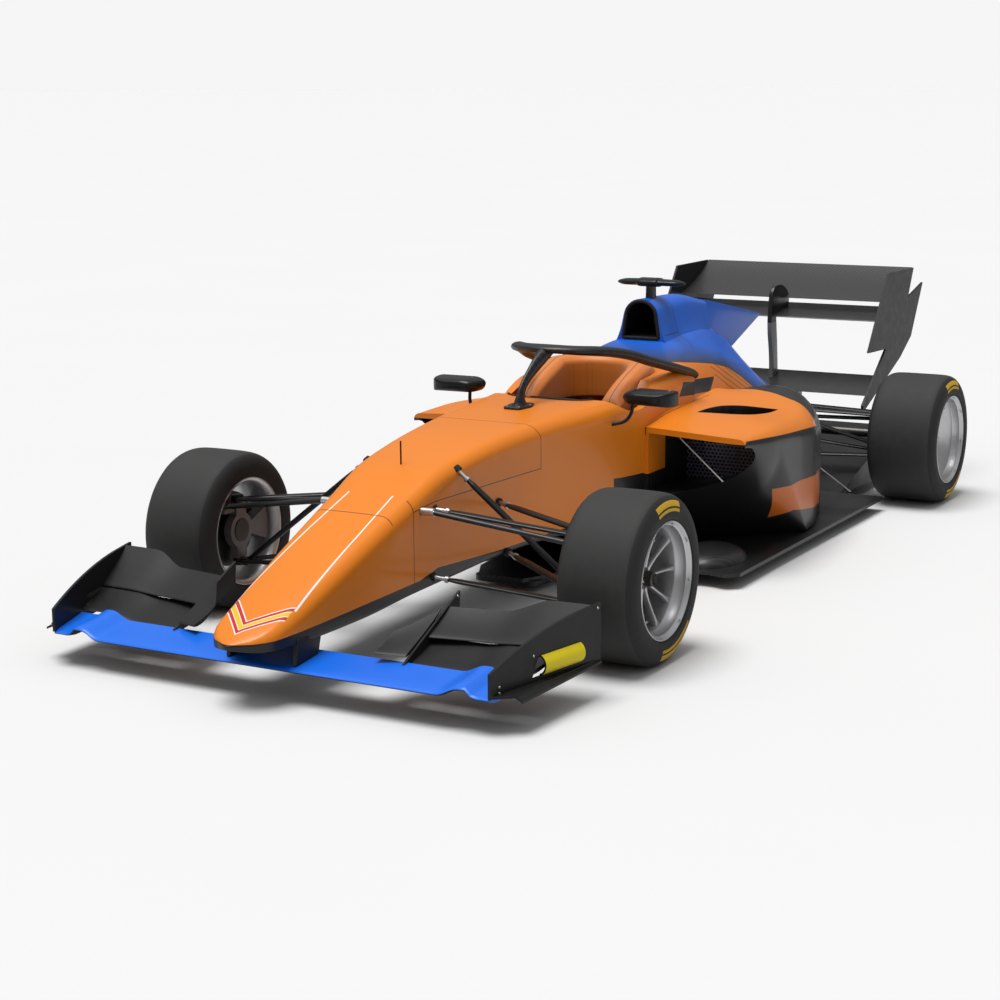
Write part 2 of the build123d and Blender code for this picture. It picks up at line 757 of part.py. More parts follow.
with BuildPart() as diffuser:
    with BuildSketch(along(0)):
        with BuildLine():
            Polyline(
                (FLOOR_REAR_X, FLOOR_TOP),
                (FLOOR_REAR_X, FLOOR_TOP - FLOOR_THICKNESS),
                (DIFFUSER_END_X, FLOOR_TOP - FLOOR_THICKNESS + DIFFUSER_RISE),
                (DIFFUSER_END_X, FLOOR_TOP + DIFFUSER_RISE),
                close=True,
            )
        make_face()
    extrude(amount=DIFFUSER_HALF_WIDTH, both=True)
    for strake in range(-2, 3):
        strake_y = strake * (DIFFUSER_HALF_WIDTH - STRAKE_THICKNESS / 2) / 2
        with BuildSketch(along(strake_y)):
            with BuildLine():
                Polyline(
                    (FLOOR_REAR_X, FLOOR_TOP - FLOOR_THICKNESS),
                    (DIFFUSER_END_X, FLOOR_TOP - FLOOR_THICKNESS),
                    (DIFFUSER_END_X, FLOOR_TOP - FLOOR_THICKNESS + DIFFUSER_RISE),
                    close=True,
                )
            make_face()
        extrude(amount=STRAKE_THICKNESS / 2, both=True)

# Power unit, gearbox and what the gearbox carries
with BuildPart() as engine:
    with BuildSketch(across(TUB_REAR_X)):
        with Locations((0, (FLOOR_TOP + 15 + ENGINE_TOP) / 2)):
            RectangleRounded(2 * ENGINE_HALF_WIDTH, ENGINE_TOP - FLOOR_TOP - 15, 30)
    extrude(amount=ENGINE_REAR_X - TUB_REAR_X)

with BuildPart() as gearbox:
    loft(sections=[box_section(*row) for row in GEARBOX_SECTIONS], ruled=True)
    with BuildSketch(Plane(origin=(REAR_AXLE_X, 0, TYRE_RADIUS), x_dir=(1, 0, 0), z_dir=(0, 1, 0))):
        Circle(SHAFT_RADIUS + RUNNING_GAP)
    extrude(amount=400, both=True, mode=Mode.SUBTRACT)

with BuildPart() as rear_crash_structure:
    loft(sections=[box_section(*row) for row in CRASH_SECTIONS], ruled=True)
    with BuildSketch(Plane(origin=(TOW_BORE_X, 0, TOW_BORE_Z), x_dir=(1, 0, 0), z_dir=(0, 1, 0))):
        Circle(TOW_BORE_RADIUS)
    extrude(amount=CRASH_SECTIONS[0][1], both=True, mode=Mode.SUBTRACT)

with BuildPart() as rain_light:
    with BuildSketch(across(CRASH_REAR_X)):
        with Locations((0, (CRASH_SECTIONS[-1][2] + CRASH_SECTIONS[-1][3]) / 2)):
            RectangleRounded(74, 62, 8)
    extrude(amount=-22)

# Rear wing
with BuildPart() as rear_wing_main_plane:
    loft(sections=[foil(y, *REAR_MAIN) for y in (-REAR_WING_HALF_SPAN, REAR_WING_HALF_SPAN)])

with BuildPart() as rear_wing_flap:
    loft(sections=[foil(y, *REAR_FLAP) for y in (-REAR_WING_HALF_SPAN, REAR_WING_HALF_SPAN)])

with BuildPart() as rear_wing_endplates:
    with BuildSketch(along(REAR_WING_HALF_SPAN)):
        with BuildLine():
            Polyline(*REAR_PLATE_OUTLINE, close=True)
        make_face()
    extrude(amount=-ENDPLATE_THICKNESS)
    mirror(about=Plane.XZ)

with BuildPart() as rear_wing_pylon:
    with BuildSketch(along(0)):
        with BuildLine():
            Polyline(*REAR_PYLON_OUTLINE, close=True)
        make_face()
    extrude(amount=WING_PYLON_THICKNESS / 2, both=True)
    add(rear_crash_structure.part, mode=Mode.SUBTRACT)
    add(rear_wing_main_plane.part, mode=Mode.SUBTRACT)
    add(rear_wing_flap.part, mode=Mode.SUBTRACT)

with BuildPart() as rear_beam_wing:
    loft(sections=[foil(y, *REAR_BEAM) for y in (-REAR_WING_HALF_SPAN, REAR_WING_HALF_SPAN)])
    add(rear_wing_pylon.part, mode=Mode.SUBTRACT)

# Front suspension: two wishbones a side, each with its ball joint eye, and the push rods
kingpin_y = FRONT_TRACK / 2 - KINGPIN_INSET
upper_z = TYRE_RADIUS + BALL_JOINT_RISE
lower_z = TYRE_RADIUS - BALL_JOINT_RISE
with BuildPart() as front_wishbones:
    for in_x, in_y, in_z, out_x, out_z in FRONT_LINKS:
        arm_end = (FRONT_AXLE_X + out_x, kingpin_y - ARM_END_INSET, out_z)
        arm, arm_length = link((in_x, in_y, in_z), arm_end, ARM_CHORD, ARM_THICKNESS)
        extrude(to_extrude=arm, amount=arm_length)
    in_x, in_y, in_z, out_x, out_z = FRONT_PUSHROD
    rod_end = (FRONT_AXLE_X + out_x, kingpin_y - PUSHROD_END_INSET, out_z)
    rod, rod_length = link((in_x, in_y, in_z), rod_end, ROD_CHORD, ROD_THICKNESS)
    extrude(to_extrude=rod, amount=rod_length)
    with Locations((FRONT_AXLE_X, kingpin_y - 32, lower_z)):
        Box(60, 44, ARM_THICKNESS)
    for eye_z in (upper_z, lower_z):
        with BuildSketch(Plane.XY.offset(eye_z - EYE_HEIGHT / 2)):
            with Locations((FRONT_AXLE_X, kingpin_y)):
                Circle(EYE_RADIUS)
        extrude(amount=EYE_HEIGHT)
        with BuildSketch(Plane.XY.offset(eye_z - EYE_HEIGHT)):
            with Locations((FRONT_AXLE_X, kingpin_y)):
                Circle(BALL_PIN_RADIUS + RUNNING_GAP)
        extrude(amount=2 * EYE_HEIGHT, mode=Mode.SUBTRACT)
    add(tub_blank.part, mode=Mode.SUBTRACT)
    mirror(about=Plane.XZ)


def upright(axle_x, wheel_y, side, column_y, plate_width, steered):
    """Upright with its bearing ring and brake caliper, and the kingpin and steering arm if it steers."""
    axis = wheel_axis(axle_x)
    ring_from = column_y - side * UPRIGHT_DEPTH / 2
    ring_to = column_y + side * UPRIGHT_DEPTH / 2
    plate_from = lower_z + EYE_HEIGHT / 2 + 2 * RUNNING_GAP
    plate_to = upper_z - EYE_HEIGHT / 2 - 2 * RUNNING_GAP
    disc_in = wheel_y + side * DISC_OFFSET - side * CALIPER_GAP
    disc_out = wheel_y + side * (DISC_OFFSET + DISC_THICKNESS + CALIPER_GAP)
    bridge = DISC_RADIUS + CALIPER_GAP
    with BuildPart() as knuckle:
        with Locations((axle_x, column_y, (plate_from + plate_to) / 2)):
            Box(plate_width, UPRIGHT_DEPTH, plate_to - plate_from)
        revolve(ring(axle_x, ring_from, ring_to, HUB_RADIUS, UPRIGHT_RING), axis=axis)
        with BuildSketch(wheel_plane(axle_x, turn=90 + CALIPER_ARC / 2)) as caliper:
            with BuildLine():
                Polyline(
                    (ring_from, UPRIGHT_RING - 8),
                    (disc_in, UPRIGHT_RING - 8),
                    (disc_in, bridge),
                    (disc_out, bridge),
                    (disc_out, bridge - 40),
                    (disc_out + side * 10, bridge - 40),
                    (disc_out + side * 10, bridge + 14),
                    (ring_from, bridge + 14),
                    close=True,
                )
            make_face()
        revolve(caliper.sketch, axis=axis, revolution_arc=CALIPER_ARC)
        hub_space = ring(axle_x, ring_from - side * 5, ring_to + side * 5, 0, HUB_RADIUS + RUNNING_GAP)
        revolve(hub_space, axis=axis, mode=Mode.SUBTRACT)
        if steered:
            with BuildSketch(Plane.XY.offset(lower_z - EYE_HEIGHT / 2 - 4)):
                with Locations((axle_x, column_y)):
                    Circle(BALL_PIN_RADIUS)
            extrude(amount=EYE_HEIGHT + 8)
            with BuildSketch(Plane.XY.offset(upper_z - EYE_HEIGHT / 2 - 4)):
                with Locations((axle_x, column_y)):
                    Circle(BALL_PIN_RADIUS)
            extrude(amount=EYE_HEIGHT + 8)
            arm_z = TYRE_RADIUS + STEERING_ARM_RISE
            with Locations((axle_x + STEERING_ARM / 2 + 6, column_y, arm_z)):
                Box(STEERING_ARM + 12, STEERING_ARM_THICKNESS, STEERING_ARM_THICKNESS)
            with BuildSketch(Plane.XY.offset(arm_z)):
                with Locations((axle_x + STEERING_ARM, column_y)):
                    Circle(TRACK_PIN_RADIUS)
            extrude(amount=STEERING_ARM_THICKNESS / 2 + 20)
    return knuckle.part


# Steering rack with its two track rods
track_eye_z = TYRE_RADIUS + STEERING_ARM_RISE + STEERING_ARM_THICKNESS / 2 + 2 * RUNNING_GAP
track_eye_radius = TRACK_PIN_RADIUS + TRACK_ROD_GAP + TRACK_EYE_WALL
with BuildPart() as steering_rack:
    with BuildSketch(Plane(origin=(RACK_X, 0, RACK_Z), x_dir=(1, 0, 0), z_dir=(0, 1, 0))):
        Circle(RACK_RADIUS)
    extrude(amount=RACK_HALF_LENGTH, both=True)
    for side in (1, -1):
        rod_end = (FRONT_AXLE_X + STEERING_ARM, side * (kingpin_y - track_eye_radius + 4), track_eye_z + 8)
        rod_start = (RACK_X, side * (RACK_HALF_LENGTH - 8), RACK_Z)
        rod, rod_length = link(rod_start, rod_end, ROD_CHORD, ROD_THICKNESS)
        extrude(to_extrude=rod, amount=rod_length)
        with BuildSketch(Plane.XY.offset(track_eye_z)):
            with Locations((FRONT_AXLE_X + STEERING_ARM, side * kingpin_y)):
                Circle(track_eye_radius)
        extrude(amount=16)
        with BuildSketch(Plane.XY.offset(track_eye_z - 20)):
            with Locations((FRONT_AXLE_X + STEERING_ARM, side * kingpin_y)):
                Circle(TRACK_PIN_RADIUS + TRACK_ROD_GAP)
        extrude(amount=60, mode=Mode.SUBTRACT)

# Rear suspension links, ended on the gearbox and the rear uprights
rear_column_y = REAR_TRACK / 2 - KINGPIN_INSET - 10
with BuildPart() as rear_uprights:
    add(upright(REAR_AXLE_X, REAR_TRACK / 2, 1, rear_column_y, REAR_UPRIGHT_WIDTH, False))
    mirror(about=Plane.XZ)

with BuildPart() as rear_suspension_links:
    for in_x, in_y, in_z, out_x, out_z in REAR_LINKS:
        arm_end = (REAR_AXLE_X + out_x, rear_column_y - REAR_LINK_END_INSET, out_z)
        arm, arm_length = link((in_x, in_y, in_z), arm_end, ARM_CHORD, ARM_THICKNESS)
        extrude(to_extrude=arm, amount=arm_length)
    add(rear_uprights.part, mode=Mode.SUBTRACT)
    add(gearbox.part, mode=Mode.SUBTRACT)
    mirror(about=Plane.XZ)


# Wheels
def tyre(axle_x, wheel_y, width):
    """Slick tyre as one ring round its rim."""
    half = width / 2
    flank = ((half, RIM_RADIUS), (half, TYRE_RADIUS - TYRE_SHOULDER), (half - TYRE_SHOULDER, TYRE_RADIUS))
    outer_flank = [(wheel_y + y, radius) for y, radius in flank]
    inner_flank = [(wheel_y - y, radius) for y, radius in reversed(flank)]
    with BuildPart() as ring_tyre:
        with BuildSketch(wheel_plane(axle_x)):
            with BuildLine():
                Polyline(*outer_flank, *inner_flank, close=True)
            make_face()
        revolve(axis=wheel_axis(axle_x))
    return ring_tyre.part


def rim(axle_x, wheel_y, width, side, face_offset, spoked):
    """Rim barrel with its wheel centre and nut, and spokes or a closed cone between them."""
    half = width / 2 - RIM_SET_BACK
    bore = RIM_RADIUS - RIM_WALL
    face = wheel_y + side * face_offset
    centre_end = face + side * WHEEL_CENTRE_THICKNESS
    outer = wheel_y + side * (half - 14)
    axis = wheel_axis(axle_x)
    with BuildPart() as wheel_rim:
        revolve(ring(axle_x, wheel_y - half, wheel_y + half, bore, RIM_RADIUS), axis=axis)
        revolve(ring(axle_x, face, centre_end, 0, WHEEL_CENTRE_RADIUS), axis=axis)
        revolve(ring(axle_x, centre_end, centre_end + side * NUT_LENGTH, 0, NUT_RADIUS), axis=axis)
        turns = [360 / SPOKES * spoke for spoke in range(SPOKES)] if spoked else [0]
        for turn in turns:
            with BuildSketch(wheel_plane(axle_x, turn)) as spoke_profile:
                with BuildLine():
                    Polyline(
                        (face, WHEEL_CENTRE_RADIUS - 8),
                        (centre_end, WHEEL_CENTRE_RADIUS - 8),
                        (outer, bore + RIM_WALL / 2),
                        (outer - side * 22, bore + RIM_WALL / 2),
                        close=True,
                    )
                make_face()
            if spoked:
                extrude(to_extrude=spoke_profile.sketch, amount=SPOKE_WIDTH / 2, both=True)
            else:
                revolve(spoke_profile.sketch, axis=axis)
    return wheel_rim.part


def hub(axle_x, wheel_y, side, face_offset, shaft_end):
    """Hub with the brake disc, and the drive shaft where shaft_end is given."""
    face = wheel_y + side * face_offset
    disc = wheel_y + side * DISC_OFFSET
    axis = wheel_axis(axle_x)
    with BuildPart() as wheel_hub:
        revolve(ring(axle_x, face - side * HUB_LENGTH, face, 0, HUB_RADIUS), axis=axis)
        revolve(ring(axle_x, disc, disc + side * DISC_THICKNESS, 0, DISC_RADIUS), axis=axis)
        if shaft_end:
            revolve(ring(axle_x, shaft_end, face, 0, SHAFT_RADIUS), axis=axis)
    return wheel_hub.part


pieces = {
    "monocoque": monocoque.part,
    "nose_cone": nose_cone.part,
    "headrest": headrest.part,
    "seat": seat.part,
    "steering_wheel": steering_wheel.part,
    "halo": halo.part,
    "mirrors": mirrors.part,
    "engine_cover": engine_cover.part,
    "roll_hoop_camera": roll_hoop_camera.part,
    "sidepods": sidepods.part,
    "radiators": radiators.part,
    "floor": floor.part,
    "diffuser": diffuser.part,
    "engine": engine.part,
    "gearbox": gearbox.part,
    "rear_crash_structure": rear_crash_structure.part,
    "rain_light": rain_light.part,
    "front_wing_main_plane": front_wing_main_plane.part,
    "front_wing_flaps": front_wing_flaps.part,
    "front_wing_endplates": front_wing_endplates.part,
    "front_wing_fences": front_wing_fences.part,
    "rear_wing_main_plane": rear_wing_main_plane.part,
    "rear_wing_flap": rear_wing_flap.part,
    "rear_wing_endplates": rear_wing_endplates.part,
    "rear_wing_pylon": rear_wing_pylon.part,
    "rear_beam_wing": rear_beam_wing.part,
    "front_wishbones": front_wishbones.part,
    "steering_rack": steering_rack.part,
    "rear_uprights": rear_uprights.part,
    "rear_suspension_links": rear_suspension_links.part,
}

# Corner pieces: name, axle x, side, distance of the wheel from the middle, tyre width, face offset
CORNERS = (
    ("front_left", FRONT_AXLE_X, 1, FRONT_TRACK / 2, FRONT_TYRE_WIDTH, FRONT_FACE_OFFSET),
    ("front_right", FRONT_AXLE_X, -1, FRONT_TRACK / 2, FRONT_TYRE_WIDTH, FRONT_FACE_OFFSET),
    ("rear_left", REAR_AXLE_X, 1, REAR_TRACK / 2, REAR_TYRE_WIDTH, REAR_FACE_OFFSET),
    ("rear_right", REAR_AXLE_X, -1, REAR_TRACK / 2, REAR_TYRE_WIDTH, REAR_FACE_OFFSET),
)
for corner, axle_x, side, distance, width, face_offset in CORNERS:
    steered = corner.startswith("front")
    wheel_y = side * distance
    pieces[f"tyre_{corner}"] = tyre(axle_x, wheel_y, width)
    pieces[f"rim_{corner}"] = rim(axle_x, wheel_y, width, side, face_offset, steered)
    pieces[f"hub_{corner}"] = hub(axle_x, wheel_y, side, face_offset, 0 if steered else side * SHAFT_INNER_Y)
    if steered:
        pieces[f"upright_{corner}"] = upright(axle_x, wheel_y, side, side * kingpin_y, UPRIGHT_WIDTH, True)

os.makedirs("parts", exist_ok=True)
for name, piece in pieces.items():
    piece.label = name
    export_step(piece, f"parts/{name}.step")
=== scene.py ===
from functools import partialmethod
from math import cos, pi, radians, sin, sqrt

import bmesh
import bpy
from mathutils import Matrix, Vector


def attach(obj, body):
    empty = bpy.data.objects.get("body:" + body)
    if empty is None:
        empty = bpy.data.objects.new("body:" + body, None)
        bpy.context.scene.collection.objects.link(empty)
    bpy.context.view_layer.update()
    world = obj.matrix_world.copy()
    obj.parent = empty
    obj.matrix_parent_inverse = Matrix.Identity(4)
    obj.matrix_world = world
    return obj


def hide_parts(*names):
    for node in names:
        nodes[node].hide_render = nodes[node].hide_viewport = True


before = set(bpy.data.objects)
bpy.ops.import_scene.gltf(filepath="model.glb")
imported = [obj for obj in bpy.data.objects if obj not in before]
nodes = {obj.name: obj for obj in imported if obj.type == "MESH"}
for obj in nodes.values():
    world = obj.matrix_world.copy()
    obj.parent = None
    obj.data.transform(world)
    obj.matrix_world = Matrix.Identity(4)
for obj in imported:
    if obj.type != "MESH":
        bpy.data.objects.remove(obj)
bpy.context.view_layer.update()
MM = 0.001
CORNERS = ("front_left", "front_right", "rear_left", "rear_right")


# Materials
class Value:
    """A number or colour that varies over a surface; a comparison gives a mask of 0 and 1."""

    def __init__(self, socket):
        self.socket = socket

    def node(self, kind):
        return self.socket.id_data.nodes.new(kind)

    def math(self, operation, *others):
        node = self.node("ShaderNodeMath")
        node.operation = operation
        for socket, value in zip(node.inputs, (self, *others)):
            put(socket, value)
        return Value(node.outputs[0])

    __add__ = partialmethod(math, "ADD")
    __sub__ = partialmethod(math, "SUBTRACT")
    __mul__ = __and__ = partialmethod(math, "MULTIPLY")
    __truediv__ = partialmethod(math, "DIVIDE")
    __mod__ = partialmethod(math, "FLOORED_MODULO")
    __gt__ = partialmethod(math, "GREATER_THAN")
    __lt__ = partialmethod(math, "LESS_THAN")

    def opposite(self):
        return self * -1.0 + 1.0

    def within(self, low, high):
        return (self > low) & (self < high)

    def near(self, middle, half):
        return self.math("COMPARE", middle, half)

    def spread(self, low, high, start=0.0, end=1.0):
        """Goes from low to high while this goes from start to end."""
        node = self.node("ShaderNodeMapRange")
        put(node.inputs["Value"], self)
        for socket, number in (("From Min", start), ("From Max", end), ("To Min", low), ("To Max", high)):
            node.inputs[socket].default_value = number
        return Value(node.outputs[0])

    def track(self, points):
        """Straight runs through points: the second number where this is the first."""
        points = sorted(points)
        total = points[0][1]
        for (start, low), (end, high) in zip(points, points[1:]):
            total = self.spread(0.0, high - low, start, end) + total
        return total


def put(socket, value):
    if isinstance(value, Value):
        socket.id_data.links.new(value.socket, socket)
    else:
        socket.default_value = value


class Graph:
    """A node material: places in metres, a base colour with paint over it, and a finish."""

    def __init__(self, name, metallic=0.0, coat=0.0, specular=0.5, roughness=0.5):
        self.material = bpy.data.materials.new(name)
        self.material.use_nodes = True
        self.tree = self.material.node_tree
        self.shader = self.tree.nodes["Principled BSDF"]
        for socket, value in (("Roughness", roughness), ("Metallic", metallic), ("Coat Weight", coat),
                              ("Coat Roughness", 0.06), ("Specular IOR Level", specular)):
            self.shader.inputs[socket].default_value = value
        self.places = self.node("ShaderNodeTexCoord").outputs
        self.place = Value(self.places["Object"])
        self.x, self.y, self.z = self.split(self.place)
        self.across = self.y.math("ABSOLUTE")

    def node(self, kind):
        return self.tree.nodes.new(kind)

    def set(self, socket, value):
        put(self.shader.inputs[socket], value)

    def split(self, vector):
        node = self.node("ShaderNodeSeparateXYZ")
        put(node.inputs[0], vector)
        return [Value(output) for output in node.outputs]

    def facing(self):
        return self.split(Value(self.places["Normal"]))

    def noise(self, scale, detail=3.0, vector=None):
        node = self.node("ShaderNodeTexNoise")
        put(node.inputs["Vector"], vector or self.place)
        node.inputs["Scale"].default_value = scale
        node.inputs["Detail"].default_value = detail
        return Value(node.outputs[0])

    def grain(self, scale):
        return self.noise(scale, 2.0)

    def mix(self, factor, first, second):
        node = self.node("ShaderNodeMix")
        node.data_type = "RGBA"
        put(node.inputs[0], factor)
        for socket, colour in ((node.inputs[6], first), (node.inputs[7], second)):
            put(socket, colour if isinstance(colour, Value) else (*colour, 1.0))
        return Value(node.outputs[2])

    def tone(self, colour, amount=0.06):
        """The colour with a soft cloud of slightly lighter and darker places."""
        return self.mix(self.noise(2.6), scaled(colour, 1 - amount), scaled(colour, 1 + amount))

    def paint(self, mask, colour):
        self.base = self.mix(mask, self.base, colour)

    def weave(self, cell, lean=0.71):
        """Twill of two crossing tows: its mask and its height."""
        u, v = (self.x + self.z * lean) / cell, (self.y - self.z * lean) / cell
        warp = (u.math("FLOOR") + v.math("FLOOR")) % 4.0 < 1.5
        rise_u, rise_v = ((place.math("FRACT") * pi).math("SINE") for place in (u, v))
        return warp, warp * rise_u + warp.opposite() * rise_v

    def finish(self, clouds, low, high, relief, strength, distance=0.001):
        """Roughness between two values after the clouds, and bump after the relief."""
        bump = self.node("ShaderNodeBump")
        bump.inputs["Strength"].default_value = strength
        bump.inputs["Distance"].default_value = distance
        put(bump.inputs["Height"], relief)
        self.set("Normal", Value(bump.outputs[0]))
        self.set("Roughness", clouds.spread(low, high))
        self.set("Base Color", self.base)
        return self.material


ORANGE = (0.66, 0.18, 0.006)
DULL_ORANGE = (0.5, 0.115, 0.01)
BLACK = (0.008, 0.008, 0.0085)
PLATE_BLACK = (0.01, 0.01, 0.0105)
GLOSS_BLACK = (0.007, 0.007, 0.0075)
BLUE = (0.006, 0.105, 0.55)
WING_BLUE = (0.006, 0.125, 0.64)
FADE_BLUE = (0.03, 0.035, 0.05)
WHITE = (0.66, 0.66, 0.64)
RED = (0.46, 0.015, 0.01)
YELLOW = (0.62, 0.42, 0.008)
PANEL_YELLOW = (0.62, 0.5, 0.01)
TYRE_YELLOW = (0.5, 0.3, 0.01)
SEAM = (0.03, 0.012, 0.004)
BLUE_SEAM = (0.004, 0.01, 0.05)
BLACK_SEAM = (0.002, 0.002, 0.002)


def scaled(colour, share):
    return tuple(part * share for part in colour)


def lacquer(g):
    """Gloss that varies a little, and the fine ripple of sprayed lacquer."""
    return g.finish(g.noise(9.0), 0.3, 0.42, g.grain(260.0), 0.03)


def carbon(name, cell=0.0036, light=0.014):
    g = Graph(name, coat=0.1, specular=0.35)
    warp, height = g.weave(cell)
    g.base = g.mix(warp, (0.005, 0.005, 0.0055), (light, light, light * 1.03))
    return g.finish(g.noise(12.0), 0.34, 0.5, height, 0.05, 0.0005)


def satin(name, colour, roughness, scale, depth, metallic=0.0):
    g = Graph(name, metallic, specular=0.25)
    g.base = g.tone(colour, 0.1)
    return g.finish(g.noise(30.0), roughness - 0.08, roughness + 0.08, g.grain(scale), depth)


def brushed(name, colour, roughness):
    """Machined metal with fine turning marks."""
    g = Graph(name, metallic=1.0)
    stretch = g.node("ShaderNodeMapping")
    put(stretch.inputs["Vector"], g.place)
    stretch.inputs["Scale"].default_value = (40.0, 900.0, 40.0)
    lines = g.noise(1.0, 4.0, Value(stretch.outputs[0]))
    g.base = g.mix(lines, scaled(colour, 0.86), colour)
    return g.finish(lines, roughness - 0.07, roughness + 0.09, lines, 0.06, 0.0004)


LOZENGE_SLOPE, LOZENGE_FRONT_LEAN, LOZENGE_REAR_LEAN = 0.083, 0.83, 2.5
LOZENGE_LEVEL, LOZENGE_FRONT, LOZENGE_REAR, LOZENGE_IN = (0.6205, 0.674), 0.403, 0.98, 0.18
CORNER_X, CORNER_Y, CORNER_Z = 0.045, 0.3175, 0.364


def lozenge(g):
    """Slanted black block on the shoulder beside the cockpit."""
    level, front = g.z - g.x * LOZENGE_SLOPE, g.x + g.z * LOZENGE_FRONT_LEAN
    rear = g.x + g.z * LOZENGE_REAR_LEAN
    return (level.within(*LOZENGE_LEVEL) & (front < LOZENGE_FRONT) & (rear > LOZENGE_REAR)
            & (g.across > LOZENGE_IN))


def tub_corner(g):
    """Body colour that runs from the tub some way into the sidepod's inlet."""
    return (g.across < CORNER_Y) & (g.x > CORNER_X) & (g.z > CORNER_Z)


# Body livery: orange over a black lower band, with seams, pinstripes and the chevron on the nose
BODY_EDGE = ((2.385, 0.205), (1.993, 0.221), (1.578, 0.239), (1.478, 0.262), (1.127, 0.25), (0.405, 0.25),
             (0.4, 0.378), (0.359, 0.374), (0.045, 0.362), (0.04, 0.505), (-0.25, 0.505))
PINSTRIPE = ((2.184, 0.108), (1.99, 0.1), (1.813, 0.094), (1.611, 0.083))
PINSTRIPE_ENDS, PINSTRIPE_HALF, CHEVRON_HALF_WIDTH = (1.6, 2.19), 0.0028, 0.104
CHEVRON = ((2.282, 2.344, WHITE), (2.287, 2.301, RED), (2.304, 2.323, YELLOW), (2.326, 2.339, RED))
HATCH_FRONT, HATCH_REAR, HATCH_LOW, NOSE_SEAM = 1.607, 0.861, 0.488, 1.712
HATCH_SIDE = ((HATCH_REAR, HATCH_LOW), (1.489, 0.482), (HATCH_FRONT, 0.467))
HATCH_BACK = ((0.6, HATCH_REAR), (0.64, 0.878))


def body_livery(name):
    g = Graph(name, coat=0.12, specular=0.3)
    facing = g.facing()
    top, flank = facing[2] > 0.45, facing[1].math("ABSOLUTE") > 0.5
    g.base = g.tone(ORANGE)
    g.paint(g.z < g.x.track(BODY_EDGE), BLACK)
    g.paint(g.across.near(g.x.track(PINSTRIPE), PINSTRIPE_HALF) & g.x.within(*PINSTRIPE_ENDS) & top, WHITE)
    arrow, on_tip = g.x + g.across, top & (g.across < CHEVRON_HALF_WIDTH)
    for low, high, colour in CHEVRON:
        g.paint(arrow.within(low, high) & on_tip, colour)
    for seam in (g.x.near(NOSE_SEAM, 0.0014) & top,
                 g.x.near(HATCH_FRONT, 0.0016) & flank & (g.z > 0.2),
                 g.z.near(g.x.track(HATCH_SIDE), 0.0015) & g.x.within(HATCH_REAR, HATCH_FRONT) & flank,
                 g.x.near(g.z.track(HATCH_BACK), 0.0016) & (g.z > HATCH_LOW)):
        g.paint(seam, SEAM)
    g.paint(lozenge(g), BLACK)
    return lacquer(g)


# Engine cover livery: blue above, a dark fade, orange with black pinstripes below, bare carbon at the rear
COVER_BORDER = ((-0.25, 0.722), (-0.464, 0.694), (-0.64, 0.668), (-0.807, 0.633), (-0.964, 0.572),
                (-1.047, 0.526), (-1.18, 0.46))
STRIPE_SLOPE, STRIPE_START, STRIPE_PITCH, STRIPE_WIDTH = 0.47, 0.9435, 0.0305, 0.0036
STRIPES_LOW_HIGH, STRIPES_ENDS = (0.9, 1.045), (-1.1, -0.6)
CARBON_LEAN, CARBON_START, FADE_HEIGHT = 0.9, -0.66, 0.075
LID_X, LID_FRONT, LID_Z, LID_FOOT, LID_SEAM = -0.56, -0.42, 0.8, 0.74, 0.0013


def cover_livery(name):
    g = Graph(name, coat=0.12, specular=0.3)
    lean = g.z - g.x * STRIPE_SLOPE
    stripe = (lean - STRIPE_START) % STRIPE_PITCH < STRIPE_WIDTH
    g.base = g.tone(ORANGE)
    for dark in (stripe & lean.within(*STRIPES_LOW_HIGH) & g.x.within(*STRIPES_ENDS), lozenge(g),
                 g.x + g.z * CARBON_LEAN < CARBON_START):
        g.paint(dark, BLACK)
    rise = g.z - g.x.track(COVER_BORDER)
    g.paint(rise > 0.0, g.mix(rise.spread(1.0, 0.0, 0.0, FADE_HEIGHT), g.tone(BLUE), FADE_BLUE))
    for seam in (g.x.near(LID_X, LID_SEAM) & (g.z > LID_FOOT),
                 g.z.near(LID_Z, LID_SEAM) & g.x.within(LID_X, LID_FRONT)):
        g.paint(seam, BLUE_SEAM)
    return lacquer(g)


# Sidepod livery: orange deck over black sides, with one orange block low on the side
DECK_EDGE = ((0.2, 0.5), (0.173, 0.512), (0.001, 0.502), (-0.285, 0.48), (-0.579, 0.457), (-0.9, 0.395),
             (-1.25, 0.3))
BLOCK_TOP = ((-0.09, 0.28), (-0.32, 0.284), (-0.762, 0.25))
BLOCK_FOOT = ((-0.22, 0.14), (-0.3, 0.172), (-0.762, 0.108))
DECK_SEAM = ((0.195, 0.305), (0.058, 0.312), (-0.044, 0.319), (-0.351, 0.301))
BLOCK_LEAN, BLOCK_ENDS, FLOOR_SEAM_Z = 0.75, (-0.92, -0.345), 0.13
TAIL_LEAN, TAIL_START, TAIL_TOP_START, TAIL_TOP_Z = 0.55, -0.72, -0.395, 0.33


def pod_livery(name):
    g = Graph(name, coat=0.1, specular=0.3)
    slant, lean = g.x - g.z * BLOCK_LEAN, g.x + g.z * TAIL_LEAN
    g.base = g.mix(g.z > g.x.track(DECK_EDGE), BLACK, g.tone(ORANGE))
    block = (g.z < g.x.track(BLOCK_TOP)) & (g.z > g.x.track(BLOCK_FOOT)) & slant.within(*BLOCK_ENDS)
    g.paint(block, DULL_ORANGE)
    g.paint(tub_corner(g), g.tone(ORANGE))
    g.paint(g.z.near(FLOOR_SEAM_Z, 0.0016), BLACK_SEAM)
    g.paint(lean < TAIL_START, BLACK)
    g.paint((lean < TAIL_TOP_START) & (g.z > TAIL_TOP_Z), BLACK)
    g.paint(g.across.near(g.x.track(DECK_SEAM), 0.0018) & (g.z > 0.51) & (g.x > -0.4), SEAM)
    return lacquer(g)


